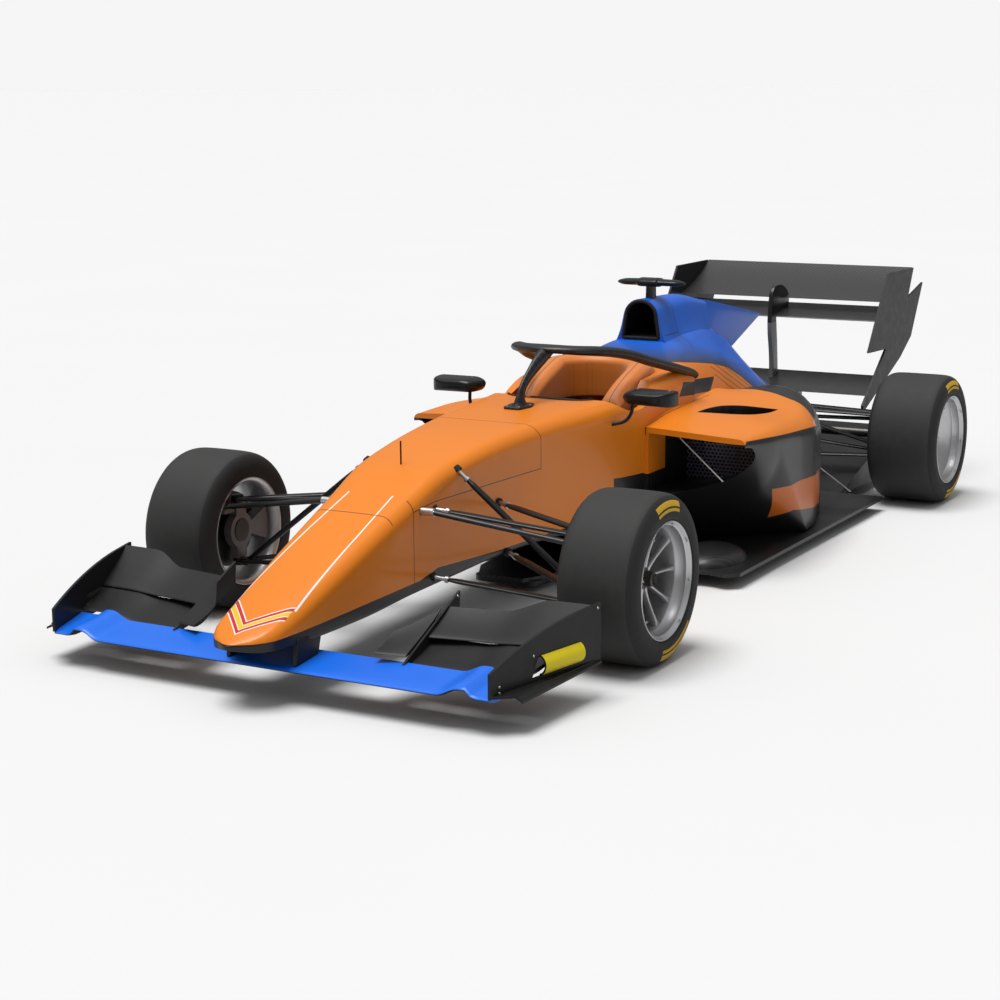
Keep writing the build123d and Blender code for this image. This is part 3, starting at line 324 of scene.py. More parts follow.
def duct_lining(name):
    """Black twill inside the sidepod's openings."""
    g = Graph(name, specular=0.3)
    warp, height = g.weave(0.007)
    g.base = g.mix(warp, (0.004, 0.004, 0.0045), (0.013, 0.013, 0.0135))
    g.paint(tub_corner(g), g.tone(ORANGE))
    return g.finish(g.noise(12.0), 0.38, 0.52, height, 0.05, 0.0005)


def pylon_metal(name):
    """Black head on a bare metal stem."""
    g = Graph(name, specular=0.4)
    g.base = g.mix(g.z < 0.705, g.tone(BLACK), g.tone((0.16, 0.16, 0.16)))
    return g.finish(g.noise(30.0), 0.3, 0.44, g.grain(220.0), 0.04)


# Tyre bars: middle angle and half length of each pair, and the radii of the two bars
BARS = ((radians(91), 0.34), (radians(-107), 0.46))
INNER_BAR, OUTER_BAR, TREAD_START = (0.2185, 0.2285), (0.2345, 0.2525), 0.266


def tyre_rubber(name, middle):
    """Rubber with a scuffed tread, and two plain yellow arcs on the outer side."""
    g = Graph(name, specular=0.35)
    dx, dz = g.x - middle[0], g.z - middle[2]
    radius, angle = (dx * dx + dz * dz).math("SQRT"), dz.math("ARCTAN2", dx)
    scuff = g.noise(34.0, 6.0)
    g.base = g.mix(scuff, BLACK, (0.016, 0.016, 0.017))
    g.paint(radius > TREAD_START, g.mix(scuff, (0.016, 0.016, 0.016), (0.034, 0.033, 0.032)))
    bars = (radius.within(*INNER_BAR) + radius.within(*OUTER_BAR)).math("MINIMUM", 1.0)
    for turn, half in BARS:
        g.paint(angle.near(turn, half) & (g.across > abs(middle[1]) + 0.1) & bars, TYRE_YELLOW)
    return g.finish(scuff, 0.62, 0.86, g.grain(420.0) + g.noise(60.0, 5.0) * 0.8, 0.16, 0.0008)


def mesh_core(name, cell=0.016):
    """Radiator core behind a mesh of round holes in staggered rows; the holes are painted near-black, a
    painted shade for the dark core seen through them.
    """
    g = Graph(name, metallic=0.6)
    rows = g.z / (cell * 0.866)
    columns = (g.y + rows.math("FLOOR") % 2.0 * (cell / 2)) / cell
    du, dv = columns.math("FRACT") - 0.5, rows.math("FRACT") - 0.5
    hole = (du * du + dv * dv).math("SQRT") < 0.36
    # Holes painted near-black: painted shade of the core behind the mesh, not the core's own colour
    g.base = g.mix(hole, (0.15, 0.15, 0.2), (0.002, 0.002, 0.003))
    return g.finish(g.noise(50.0), 0.4, 0.6, hole.opposite(), 0.5, 0.002)


def soft_cover(name, colour, trim):
    """Stretched cover with a fine weave; the trim is a dark pinstripe near its edge."""
    g = Graph(name)
    g.set("Sheen Weight", 0.25)
    warp, height = g.weave(0.0022)
    g.base = g.mix(warp, scaled(colour, 0.9), colour)
    if trim:
        g.paint(g.across.near(0.176, 0.0016) & (g.z > 0.6), BLACK)
    return g.finish(g.noise(22.0), 0.42, 0.6, height, 0.12, 0.0005)


# Endplate: a point on its outer face and the outward direction, both in plan, then the panel's place
PLATE_POINT, PLATE_AWAY = (2.233, 0.783), (0.1844, 0.9829)
PANEL_DEPTH, PANEL_X, PANEL_Z = 0.0105, (1.8, 2.03), (0.126, 0.2)


def plate_paint(name):
    """Black satin plate; the bowed panel that stands out in its window is yellow."""
    g = Graph(name, specular=0.2)
    out = (g.x - PLATE_POINT[0]) * PLATE_AWAY[0] + (g.across - PLATE_POINT[1]) * PLATE_AWAY[1]
    outward = g.y * g.facing()[1] > 0.0
    g.base = g.tone(PLATE_BLACK, 0.1)
    g.paint((out > PANEL_DEPTH) & g.z.within(*PANEL_Z) & g.x.within(*PANEL_X) & outward, PANEL_YELLOW)
    return g.finish(g.noise(30.0), 0.38, 0.54, g.grain(220.0), 0.05)


def plane_paint(name):
    """Blue paint above, bare black below."""
    g = Graph(name, coat=0.12, specular=0.3)
    g.base = g.mix(g.facing()[2] < -0.25, g.tone(WING_BLUE), BLACK)
    return lacquer(g)


def rack_finish(name):
    """Bright bar with black rods outside it."""
    g = Graph(name, specular=0.3)
    bar = g.across < 0.213
    g.base = g.mix(bar, g.tone(GLOSS_BLACK), g.tone((0.62, 0.62, 0.63)))
    g.set("Metallic", bar)
    return g.finish(g.noise(40.0), 0.26, 0.36, g.grain(220.0), 0.03)


body_paint = body_livery("body_paint")
plate_black = plate_paint("plate_black")
cover_paint = cover_livery("cover_paint")
pod_paint = pod_livery("pod_paint")
pod_lining = duct_lining("pod_lining")
pylon_finish = pylon_metal("pylon_finish")
blue_paint = plane_paint("blue_paint")
rack_metal = rack_finish("rack_metal")
black_paint = satin("black_paint", PLATE_BLACK, 0.46, 220.0, 0.05)
gloss_black = satin("gloss_black", GLOSS_BLACK, 0.3, 220.0, 0.03)
coarse_twill = carbon("coarse_twill", 0.0055, 0.016)
twill = carbon("twill")
wing_twill = carbon("wing_twill", 0.0055, 0.034)
halo_twill = carbon("halo_twill", 0.005, 0.013)
rubber = satin("rubber", (0.012, 0.012, 0.012), 0.72, 300.0, 0.15)
alloy = satin("alloy", (0.5, 0.5, 0.51), 0.36, 300.0, 0.03, 0.85)
chrome = brushed("chrome", (0.44, 0.44, 0.45), 0.36)
steel = brushed("steel", (0.42, 0.42, 0.43), 0.34)
dark_steel = brushed("dark_steel", (0.1, 0.095, 0.09), 0.42)
cast = satin("cast", (0.2, 0.2, 0.21), 0.55, 120.0, 0.3, 0.9)
core = mesh_core("core")
red_lens = satin("red_lens", (0.4, 0.012, 0.01), 0.2, 90.0, 0.25)
white_wire = satin("white_wire", (0.6, 0.6, 0.59), 0.4, 300.0, 0.05)
mirror_glass = satin("mirror_glass", (0.82, 0.84, 0.86), 0.12, 12.0, 0.01, 1.0)
screen = satin("screen", (0.01, 0.013, 0.02), 0.18, 40.0, 0.02)
head_cover = soft_cover("head_cover", (0.6, 0.16, 0.006), True)
seat_cover = soft_cover("seat_cover", (0.022, 0.022, 0.024), False)


# Mesh helpers; tables and outlines are in millimetres, finished points in metres
def at(x, y, z):
    return Vector((x, y, z)) * MM


def side_view(x, z, y):
    return at(x, y, z)


def front_view(y, z, x):
    return at(x, y, z)


def section(x, outline):
    """Ring across the car from an outline in y and z."""
    return [at(x, y, z) for y, z in outline]


def clamp(value):
    return min(1.0, max(0.0, value))


def circle(count):
    """Cosine and sine at even turns."""
    return [(cos(2 * pi * part / count), sin(2 * pi * part / count)) for part in range(count)]


def oval(u, v, wide, high, count=20):
    return [(u + wide * c, v + high * s) for c, s in circle(count)]


def heading(points, index):
    """Direction of a line of points at one of them."""
    return (points[min(index + 1, len(points) - 1)] - points[max(index - 1, 0)]).normalized()


def ease(rows, step):
    """Rows at even steps along the car, eased between those given."""
    slopes = [[(b - a) / (two[0] - one[0]) for a, b in zip(one, two)] for one, two in zip(rows, rows[1:])]
    tangents = [slopes[0]]
    for before, after in zip(slopes, slopes[1:]):
        tangents.append([2 * a * b / (a + b) if a * b > 0 else 0.0 for a, b in zip(before, after)])
    tangents.append(slopes[-1])
    result = []
    for index, (one, two) in enumerate(zip(rows, rows[1:])):
        run = two[0] - one[0]
        count = max(1, round(abs(run) / step))
        for part in range(count):
            t = part / count
            h00, h10 = 2 * t**3 - 3 * t**2 + 1, t**3 - 2 * t**2 + t
            h01, h11 = 3 * t**2 - 2 * t**3, t**3 - t**2
            result.append([h00 * a + h10 * run * m + h01 * b + h11 * run * n
                           for a, b, m, n in zip(one, two, tangents[index], tangents[index + 1])])
    return result + [list(rows[-1])]


def rounded(corners, arc=7, edge=5):
    """Closed outline with smooth arcs at corners of two places and a rounding."""
    points = []
    count = len(corners)
    for index, (y, z, size) in enumerate(corners):
        here = Vector((y, z))
        following = corners[(index + 1) % count]
        back = (Vector(corners[index - 1][:2]) - here).normalized() * size
        ahead = (Vector(following[:2]) - here).normalized() * size
        start, end = here + back, here + ahead
        first, second = here + back * 0.448, here + ahead * 0.448
        for part in range(arc + 1):
            t = part / arc
            points.append(start * (1 - t)**3 + first * 3 * t * (1 - t)**2
                          + second * 3 * t * t * (1 - t) + end * t**3)
        goal = Vector(following[:2])
        goal = goal + (here - goal).normalized() * following[2]
        for part in range(1, edge):
            points.append(end.lerp(goal, part / edge))
    return points


def skin(rings, caps=True, closed=True):
    """Vertices and faces of a surface through rings of equal length."""
    size = len(rings[0])
    vertices = [tuple(point) for ring in rings for point in ring]
    faces = []
    for ring in range(len(rings) - 1):
        for index in range(size if closed else size - 1):
            following = (index + 1) % size
            faces.append((ring * size + index, ring * size + following,
                          (ring + 1) * size + following, (ring + 1) * size + index))
    if caps:
        faces.append(tuple(reversed(range(size))))
        faces.append(tuple(range((len(rings) - 1) * size, len(rings) * size)))
    return vertices, faces


def loft(ring, rows, step):
    """Skin through a section table, where ring turns a row into a ring."""
    return skin([ring(*row) for row in ease(rows, step)])


def join(*shapes):
    vertices, faces = [], []
    for more_vertices, more_faces in shapes:
        start = len(vertices)
        vertices += more_vertices
        faces += [tuple(start + index for index in face) for face in more_faces]
    return vertices, faces


def mirrored(shape):
    vertices, faces = shape
    flipped = [(x, -y, z) for x, y, z in vertices], [tuple(reversed(face)) for face in faces]
    return join(shape, flipped)


def link(name, data):
    obj = bpy.data.objects.new(name, data)
    bpy.context.collection.objects.link(obj)
    return obj


def raw_object(name, shape):
    mesh = bpy.data.meshes.new(name)
    mesh.from_pydata(shape[0], [], shape[1])
    work = bmesh.new()
    work.from_mesh(mesh)
    bmesh.ops.remove_doubles(work, verts=work.verts, dist=1e-6)
    bmesh.ops.recalc_face_normals(work, faces=work.faces)
    work.to_mesh(mesh)
    work.free()
    return link(name, mesh)


def shade(obj, angle):
    """Smooth shading with hard edges where faces meet at more than the angle."""
    work = bmesh.new()
    work.from_mesh(obj.data)
    for face in work.faces:
        face.smooth = True
    for edge in work.edges:
        if len(edge.link_faces) == 2:
            edge.smooth = edge.calc_face_angle(0.0) < radians(angle)
    work.to_mesh(obj.data)
    work.free()


def finishes(obj, materials, index=0):
    """Gives an object its materials and all its faces one of them, which a cut leaves on its walls."""
    for material in materials:
        obj.data.materials.append(material)
    for face in obj.data.polygons:
        face.material_index = index
    return obj


def settle(obj, stands_for=None, slot=None, angle=35, body="chassis"):
    """Shades a piece, hangs it on the body that it rides on and hides the node that it stands for; the slot
    is not used.
    """
    shade(obj, angle)
    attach(obj, body)
    if stands_for:
        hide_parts(stands_for)
    return obj


def add(name, shape, material, *facts, **options):
    return settle(finishes(raw_object(name, shape), [material]), *facts, **options)


def carve(obj, cutters):
    for cutter in cutters:
        modifier = obj.modifiers.new("cut", "BOOLEAN")
        modifier.operation = "DIFFERENCE"
        modifier.solver = "EXACT"
        modifier.object = cutter
    graph = bpy.context.evaluated_depsgraph_get()
    old = obj.data
    obj.data = bpy.data.meshes.new_from_object(obj.evaluated_get(graph))
    obj.modifiers.clear()
    bpy.data.meshes.remove(old)
    for cutter in cutters:
        bpy.data.objects.remove(cutter)
    return obj


def prism(name, outline, place, low, high):
    """Solid between two levels; place turns an outline's point and a level into a point."""
    return raw_object(name, skin([[place(u, v, level) for u, v in outline] for level in (low, high)]))


def soft_box(outline, place, low, high, round_edge, steps=4):
    """Shape between two levels whose end edges are rounded."""
    middle = sum((Vector(point) for point in outline), Vector((0, 0))) / len(outline)
    reach = sum((Vector(point) - middle).length for point in outline) / len(outline)
    turns = [pi / 2 * part / steps for part in range(steps + 1)]
    rings = [(low + round_edge * (1 - cos(turn)), 1 - round_edge / reach * (1 - sin(turn))) for turn in turns]
    rings += [(high - (level - low), scale) for level, scale in reversed(rings)]
    return skin([[place(*(middle + (Vector(point) - middle) * scale), level) for point in outline]
                 for level, scale in rings])


def curve_points(points, count):
    """Smooth run through the points."""
    points = [Vector(point) for point in points]
    padded = [points[0] * 2 - points[1]] + points + [points[-1] * 2 - points[-2]]
    result = []
    for a, b, c, d in zip(padded, padded[1:], padded[2:], padded[3:]):
        for part in range(count):
            t = part / count
            result.append(0.5 * (2 * b + (c - a) * t + (2 * a - 5 * b + 4 * c - d) * t * t
                                 + (3 * b - a - 3 * c + d) * t**3))
    return result + [points[-1]]


def sweep(points, sizes, sides, across=None, scale=1.0):
    """Oval tube along points, with half width and half height at each."""
    rings = []
    for index, (point, size) in enumerate(zip(points, sizes)):
        ahead = heading(points, index)
        side = Vector(across or ahead.cross(Vector((0, 0, 1))))
        side = side.normalized() if side.length > 1e-4 else Vector((0, 1, 0))
        up = side.cross(ahead)
        rings.append([(point + side * size[0] * c + up * size[1] * s) * scale for c, s in circle(sides)])
    return skin(rings)


def tube(points, radius, sides=12):
    return sweep(points, [(radius, radius)] * len(points), sides)


def fairing(rows, across=None, sides=22):
    """Oval tube along rows of place, half width and half height, smooth between them."""
    sizes = curve_points([(*row[3:], 0) for row in rows], 5)
    return sweep(curve_points([row[:3] for row in rows], 5), sizes, sides, across, MM)


def lathe(profile, middle, segments=96, closed=True):
    """Ring turned about the Y axis through middle, from pairs of y and radius."""
    rings = [[(middle[0] + radius * c, middle[1] + y, middle[2] + radius * s) for y, radius in profile]
             for c, s in circle(segments)]
    return skin(rings + rings[:1], caps=False, closed=closed)


BOLT_RINGS = ((1.0, -0.5), (1.0, 0.45), (0.85, 0.85), (0.5, 1.0), (0.42, 0.6))


def bolts(places, radius, height):
    """Domed bolt heads at pairs of place and outward direction."""
    shapes = []
    for place, out in places:
        place, out = Vector(place), Vector(out).normalized()
        side = out.orthogonal().normalized()
        other = out.cross(side)
        shapes.append(skin([[place + (side * c + other * s) * radius * scale + out * height * rise
                             for c, s in circle(10)] for scale, rise in BOLT_RINGS]))
    return join(*shapes)


# Nose and tub sections: x, half width, bottom, top, upper rounding, lower rounding
NOSE_TIP, NOSE_JOINT = 2387, 1625
NOSE_SECTIONS = (
    (NOSE_TIP, 6, 189, 201, 5, 3),
    (2378, 26, 186, 206, 8, 3),
    (2352, 68, 181, 213, 14, 4),
    (2292, 109, 177, 236, 26, 6),
    (2150, 128, 175, 294, 40, 10),
    (1900, 145, 178, 396, 46, 16),
    (NOSE_JOINT, 161, 196, 503, 50, 20),
)
TUB_SECTIONS = (
    NOSE_SECTIONS[-1],
    (1400, 178, 208, 581, 50, 24),
    (1000, 208, 225, 634, 54, 28),
    (700, 238, 218, 650, 56, 30),
    (400, 275, 130, 656, 62, 34),
    (120, 304, 60, 690, 70, 30),
    (-250, 304, 60, 720, 70, 30),
)
NOSE_CROWN, CROWN_RISE_RUN, CROWN_FALL_RUN = 13, 500, 50
TUB_WALL = 25
NOSE_PYLON = ((2222, 112, 7), (2204, 196, 7), (2080, 196, 7), (2100, 124, 7))


def body_ring(x, half, bottom, top, upper, lower, inset=0.0):
    """Rounded section of the nose or the tub; the nose's top is crowned."""
    half, bottom, top = half - inset, bottom + inset, top - inset
    upper, lower = upper - inset / 2, lower - inset / 2
    crown = NOSE_CROWN * min(clamp((x - NOSE_JOINT) / CROWN_RISE_RUN), clamp((NOSE_TIP - x) / CROWN_FALL_RUN))
    corners = ((-half, bottom, lower), (half, bottom, lower), (half, top, upper), (-half, top, upper))
    middle = (bottom + top) / 2
    return [at(x, y, z + crown * max(0.0, 1 - (y / half)**2) * (z > middle)) for y, z in rounded(corners)]


add("nose_shell", loft(body_ring, NOSE_SECTIONS, 26), body_paint, "nose_cone", "orange_paint")
pylons = [soft_box(rounded(NOSE_PYLON, 3, 2), side_view, y - 8, y + 8, 5) for y in (120, -120)]
add("nose_pylons", join(*pylons), black_paint, "nose_cone", "carbon")

# Survival cell with the cockpit opening, whose edge dips beside the driver, and the bore for the rack
COCKPIT = ((415, 150, 60), (305, 226, 60), (-60, 226, 60), (-190, 150, 60),
           (-190, -150, 60), (-60, -226, 60), (305, -226, 60), (415, -150, 60))
DIP_X, DIP_Z, DIP_CURVE = 250, 608, 0.00295
DIP_FRONT, DIP_REAR, DIP_STEP, CUT_TOP = 440, 60, 19, 900


def dip_height(x):
    return DIP_Z + DIP_CURVE * (x - DIP_X)**2


tub = raw_object("tub_shell", loft(body_ring, TUB_SECTIONS, 34))
hollow_rows = [row for row in ease(TUB_SECTIONS, 60) if -230 < row[0] < 1405]
hollow = raw_object("hollow", skin([body_ring(*row, inset=TUB_WALL) for row in hollow_rows]))
cockpit = prism("cockpit", rounded(COCKPIT, 6, 3), at, 560, CUT_TOP)
dip_edge = [(x, dip_height(x)) for x in range(DIP_FRONT, DIP_REAR - 1, -DIP_STEP)]
dip = prism("dip", dip_edge + [(DIP_REAR, CUT_TOP), (DIP_FRONT, CUT_TOP)], side_view, -500, 500)
bore = prism("bore", oval(1562, 464, 15, 15), side_view, -400, 400)
carve(tub, [hollow, cockpit, dip, bore])
settle(finishes(tub, [body_paint]), "monocoque", "orange_paint")

# Dash bulkhead with holes for the legs and the steering column
DASH = ((-238, 215, 40), (238, 215, 40), (238, 606, 40), (-238, 606, 40))
DASH_HOLE = ((-170, 220, 60), (170, 220, 60), (170, 470, 60), (-170, 470, 60))
dash = prism("dash", rounded(DASH, 4, 3), front_view, 530, 555)
leg_hole = prism("leg_hole", rounded(DASH_HOLE, 4, 3), front_view, 500, 600)
column_hole = prism("column_hole", oval(0, 526, 17, 18), front_view, 500, 600)
carve(dash, [leg_hole, column_hole])
settle(finishes(dash, [twill]), "monocoque", "carbon")

# Headrest pad, a crowned horseshoe round the driver's head: pairs of inner and outer edge, then their rings
PAD_FOOT, PAD_LOW, PAD_RISE, PAD_FRONT, PAD_RUN = 592, 600, 145, 255, 275
PAD_CROWN, PAD_ROUNDING = 5, 26.0
ARC_STEPS = 9
stations = [((x, 136), (x, 223)) for x in (252, 225, 190, 150, 110, 70, 30)]
for k in range(1, ARC_STEPS + 1):
    turn = pi / 2 * k / ARC_STEPS
    inner = (20 - 120 * sin(turn), 15 + 120 * cos(turn))
    outer = (-20 - 167 * sin(turn)**1.3, 15 + 208 * cos(turn)**0.62 if k < ARC_STEPS else 15)
    stations.append((inner, outer))
stations = stations + [((x, -y), (u, -v)) for (x, y), (u, v) in reversed(stations)]
pad_rings = []
for (x, y), (u, v) in stations:
    inner, outer = Vector((x, y)), Vector((u, v))
    top = PAD_LOW + PAD_RISE * clamp((PAD_FRONT - (x + u) / 2) / PAD_RUN)**0.55
    width = (outer - inner).length
    size = min(PAD_ROUNDING, (top - 590) * 0.45)
    corners = ((0, PAD_FOOT, 6), (width, PAD_FOOT, 6), (width, top, size), (0, top, size))
    ring = []
    for across, z in rounded(corners, 6, 4):
        crown = PAD_CROWN * sin(pi * clamp(across / width)) if z > top - 1 else 0.0
        ring.append(at(*inner.lerp(outer, across / width), z + crown))
    pad_rings.append(ring)
headrest = add("headrest_pad", skin(pad_rings), head_cover, "headrest", "pad", 60)

# Seat pad with raised sides and sewn channels across
SEAT_LINE = ((330, 0, 196), (225, 0, 132), (120, 0, 108), (40, 0, 172), (-70, 0, 306), (-165, 0, 516))
SEAT_HALF, SEAT_THICK, SEAT_CROWN, SEAT_BOLSTER, SEAT_FLOOR = 178, 9, 6, 26, 88.0
CHANNEL_DEPTH, CHANNEL_EVERY = 3.0, 5
seat_line = curve_points(SEAT_LINE, 8)
seat_rings = []
for index, point in enumerate(seat_line):
    ahead = heading(seat_line, index)
    rise = Vector((-ahead.z, 0, ahead.x))
    rise = rise if rise.z > 0 or rise.x > 0 else -rise
    channel = CHANNEL_DEPTH if index % CHANNEL_EVERY == 0 else 0.0
    upper, lower = [], []
    for k in range(25):
        y = -SEAT_HALF + 2 * SEAT_HALF * k / 24
        bolster = SEAT_BOLSTER * max(0.0, abs(y) / SEAT_HALF - 0.55)**1.5 * 2.2
        crown = SEAT_CROWN * cos(pi * y / SEAT_HALF / 2)
        upper.append(point + rise * (SEAT_THICK + bolster + crown - channel) + Vector((0, y, 0)))
        lower.append(point - rise * SEAT_THICK + Vector((0, y, 0)))
    ring = upper + list(reversed(lower))
    seat_rings.append([at(p.x, p.y, max(p.z, SEAT_FLOOR)) for p in ring])
seat = add("seat_pad", skin(seat_rings), seat_cover, "seat", "pad", 60)

# Cover and duct sections: x, lower half width, bottom, upper half width, top, rounding, shoulder's swell
COVER_SECTIONS = (
    (-250, 302, 480, 222, 720, 60, 44),
    (-420, 292, 480, 132, 784, 66, 54),
    (-760, 285, 470, 70, 812, 52, 16),
    (-1100, 255, 445, 42, 735, 36, 0),
    (-1420, 190, 435, 30, 548, 20, 0),
    (-1590, 130, 432, 24, 470, 8, 0),
)
COVER_INSET = (0, 12, 20, 6, 12, 6, 0)
AIRBOX_SECTIONS = (
    (-402, 94, 740, 62, 944, 58),
    (-680, 86, 740, 48, 938, 44),
    (-1000, 50, 730, 20, 882, 18),
)
DUCT = ((-395, 77, 792, 55, 932, 52), (-640, 64, 816, 40, 924, 36))
FOOT_FLARE, FOOT_HEIGHT, FLARE_END, FLARE_RUN = 34.0, 58, -850, 150
FIN = ((-640, 920), (-689, 937), (-1089, 871), (-1659, 762), (-1295, 640), (-1000, 720), (-700, 800))
LIP = ((-79, 788, 8), (79, 788, 8), (57, 935, 52), (-57, 935, 52))


def cover_ring(x, base, low, top, high, size, shoulder=0.0):
    """Cover section, a trapezium whose sides swell out at the shoulder."""
    side = (base * 0.52 + top * 0.48 + shoulder, low * 0.45 + high * 0.55)
    size_side = max(1.0, shoulder * 1.6)
    return section(x, rounded(((-base, low, 2), (base, low, 2), (*side, size_side), (top, high, size),
                               (-top, high, size), (-side[0], side[1], size_side)), 8, 5))


def airbox_ring(x, base, low, top, high, size):
    """Airbox section with a foot that flares out, less so towards the rear."""
    flare = max(4.0, FOOT_FLARE * (1.0 - clamp((FLARE_END - x) / FLARE_RUN)))
    knee = low + FOOT_HEIGHT
    return section(x, rounded(((-base - flare, low, 4), (base + flare, low, 4), (base, knee, 40),
                               (top, high, size), (-top, high, size), (-base, knee, 40)), 7, 3))


cover = raw_object("cover_shell", loft(cover_ring, COVER_SECTIONS, 34))
inner_rows = [[value - inset for value, inset in zip(row, COVER_INSET)] for row in COVER_SECTIONS]
carve(cover, [raw_object("inner_cover", loft(cover_ring, inner_rows, 60))])
settle(finishes(cover, [cover_paint]), "engine_cover", "blue_paint")
airbox_finishes = (cover_paint, black_paint)
airbox = finishes(raw_object("airbox_shell", loft(airbox_ring, AIRBOX_SECTIONS, 30)), airbox_finishes)
duct = finishes(raw_object("duct", loft(cover_ring, DUCT, 40)), airbox_finishes, 1)
settle(carve(airbox, [duct]), "engine_cover", "blue_paint")
fin_outline = rounded([(x, z, 10) for x, z in FIN], 4, 6)
add("cover_fin", soft_box(fin_outline, side_view, -8, 8, 5), blue_paint, "engine_cover", "blue_paint")
lip_line = section(AIRBOX_SECTIONS[0][0], rounded(LIP, 8, 5))
add("airbox_lip", tube(lip_line + lip_line[:2], 0.007), rubber)

# Sidepod sections: x, inner side, outer side, bottom, outer top, inner top, rounding, hump of the deck
POD_SECTIONS = (
    (195, 200, 702, 60, 520, 546, 24, 0),
    (-60, 200, 724, 60, 522, 590, 55, 0),
    (-500, 200, 702, 60, 497, 596, 80, 6),
    (-700, 200, 650, 60, 505, 554, 110, 38),
    (-900, 200, 585, 60, 500, 500, 130, 74),
    (-1225, 180, 380, 60, 330, 340, 70, 55),
)
HUMP_SHARE, HUMP_ROUNDING = 0.45, 80
INLET = ((316, 290, 6), (430, 294, 40), (575, 338, 60), (668, 396, 40), (704, 450, 22), (702, 499, 18),
         (316, 518, 6))
UNDERCUT_FOOT, UNDERCUT_START_X, UNDERCUT_SWEEP, UNDERCUT_LEAN = 389, -122, 1.0108, 1.3618
LOUVRE = ((-64, 396, 3), (-180, 394, 60), (-330, 418, 80), (-480, 562, 8), (-330, 568, 70), (-190, 534, 70))


def pod_ring(x, inner, outer, low, outer_top, inner_top, size, hump):
    """Pod section whose lower side leans in towards the floor ahead of the undercut's foot."""
    foot = min(UNDERCUT_FOOT - (x - UNDERCUT_START_X) * UNDERCUT_SWEEP, outer - 10)
    turn_z = min(low + (outer - foot) / UNDERCUT_LEAN, outer_top - size - 3)
    bottom = low + max(0.0, inner - foot) / UNDERCUT_LEAN
    foot_corner = (foot, low, 1) if foot > inner + 4 else (inner + 4, bottom + 3, 1)
    bend = max(3.0, min(130.0, (turn_z - low) * 0.5, (outer_top - turn_z - size) * 0.9))
    crest = inner + (outer - inner) * HUMP_SHARE
    crest_top = inner_top + (outer_top - inner_top) * HUMP_SHARE + hump
    ridge = (crest, crest_top, min(HUMP_ROUNDING, (crest - inner) * 0.8))
    return section(x, rounded(((inner, bottom, 1), foot_corner, (outer, turn_z, bend),
                               (outer, outer_top, size), ridge, (inner, inner_top, 2)), 8, 6))


pod_finishes = (pod_paint, pod_lining)
left = finishes(raw_object("sidepod_left", loft(pod_ring, POD_SECTIONS, 22)), pod_finishes)
carve(left, [finishes(prism("inlet", rounded(INLET, 7, 4), front_view, -225, 260), pod_finishes, 1),
             finishes(prism("louvre", rounded(LOUVRE, 6, 4), at, 455, 700), pod_finishes, 1)])
right = link("sidepod_right", left.data.copy())
right.data.transform(Matrix.Scale(-1, 4, (0, 1, 0)))
right.data.flip_normals()
for pod in (left, right):
    settle(pod, "sidepods", "orange_paint")

# Wheels, in metres: axle x, track from the middle, tyre width, the centre's face from the wheel's middle
AXLE_Z = 0.275
FRONT_WHEEL = (1.35, 0.7955, 0.268, 0.03)
REAR_WHEEL = (-1.53, 0.7935, 0.298, 0.022)
# Profiles: depth from the tyre's edge, the rim's edges or the face, then radius
TYRE_FLANK = ((-0.012, 0.1885), (-0.004, 0.193), (-0.001, 0.201), (0.0, 0.214), (-0.0005, 0.228),
              (-0.004, 0.242), (-0.011, 0.256), (-0.022, 0.2665), (-0.038, 0.2722), (-0.062, 0.2743))
RIM_OUTSIDE = ((0.0, 0.1885), (0.001, 0.186), (-0.002, 0.1825), (-0.01, 0.18), (-0.014, 0.1745),
               (-0.04, 0.1725), (-0.046, 0.1675), (-0.052, 0.1655))
RIM_INSIDE = ((0.03, 0.1655), (0.012, 0.172), (0.004, 0.178), (0.0, 0.186), (0.0, 0.1885))
NUT = ((-0.012, 0.0), (-0.012, 0.044), (0.02, 0.04), (0.024, 0.03), (0.026, 0.025), (0.052, 0.023),
       (0.056, 0.018), (0.045, 0.014), (0.045, 0.0))
DISH = ((0.004, 0.026), (0.01, 0.046), (0.022, 0.06), (0.038, 0.09), (0.058, 0.13), (0.074, 0.158),
        (0.078, 0.1685), (0.066, 0.1685), (0.046, 0.13), (0.026, 0.09), (0.008, 0.058), (-0.006, 0.04),
        (-0.006, 0.026))
# Spokes: radius, depth from the face, half width, half thickness
SPOKE = ((0.03, 0.0, 0.013, 0.016), (0.052, 0.003, 0.0085, 0.014), (0.085, 0.01, 0.0055, 0.011),
         (0.125, 0.02, 0.0055, 0.01), (0.152, 0.027, 0.008, 0.01), (0.169, 0.031, 0.014, 0.01))
SPOKE_FACE, SPOKE_ROUNDING, SPOKE_TAPER, SPOKE_COUNT = 0.006, 0.003, 0.7, 10
RIM_INSET, STUD_RADIUS, STUD_INSET, STUD_COUNT, STUD_TURN = 0.005, 0.1775, 0.0055, 8, 0.2


def offset(table, start):
    return [(start + depth, radius) for depth, radius in table]


def turned(profile, side, middle, segments, closed=True):
    return lathe([(side * y, radius) for y, radius in profile], middle, segments, closed)


def tyre_shape(middle, width):
    half = width / 2
    flank = offset(TYRE_FLANK, half) + [(half * 0.3, 0.275)]
    profile = flank + [(-y, radius) for y, radius in reversed(flank)]
    smooth = [(p.x, p.y) for p in curve_points([(y, radius, 0) for y, radius in profile], 3)]
    return lathe(smooth, middle, 112)


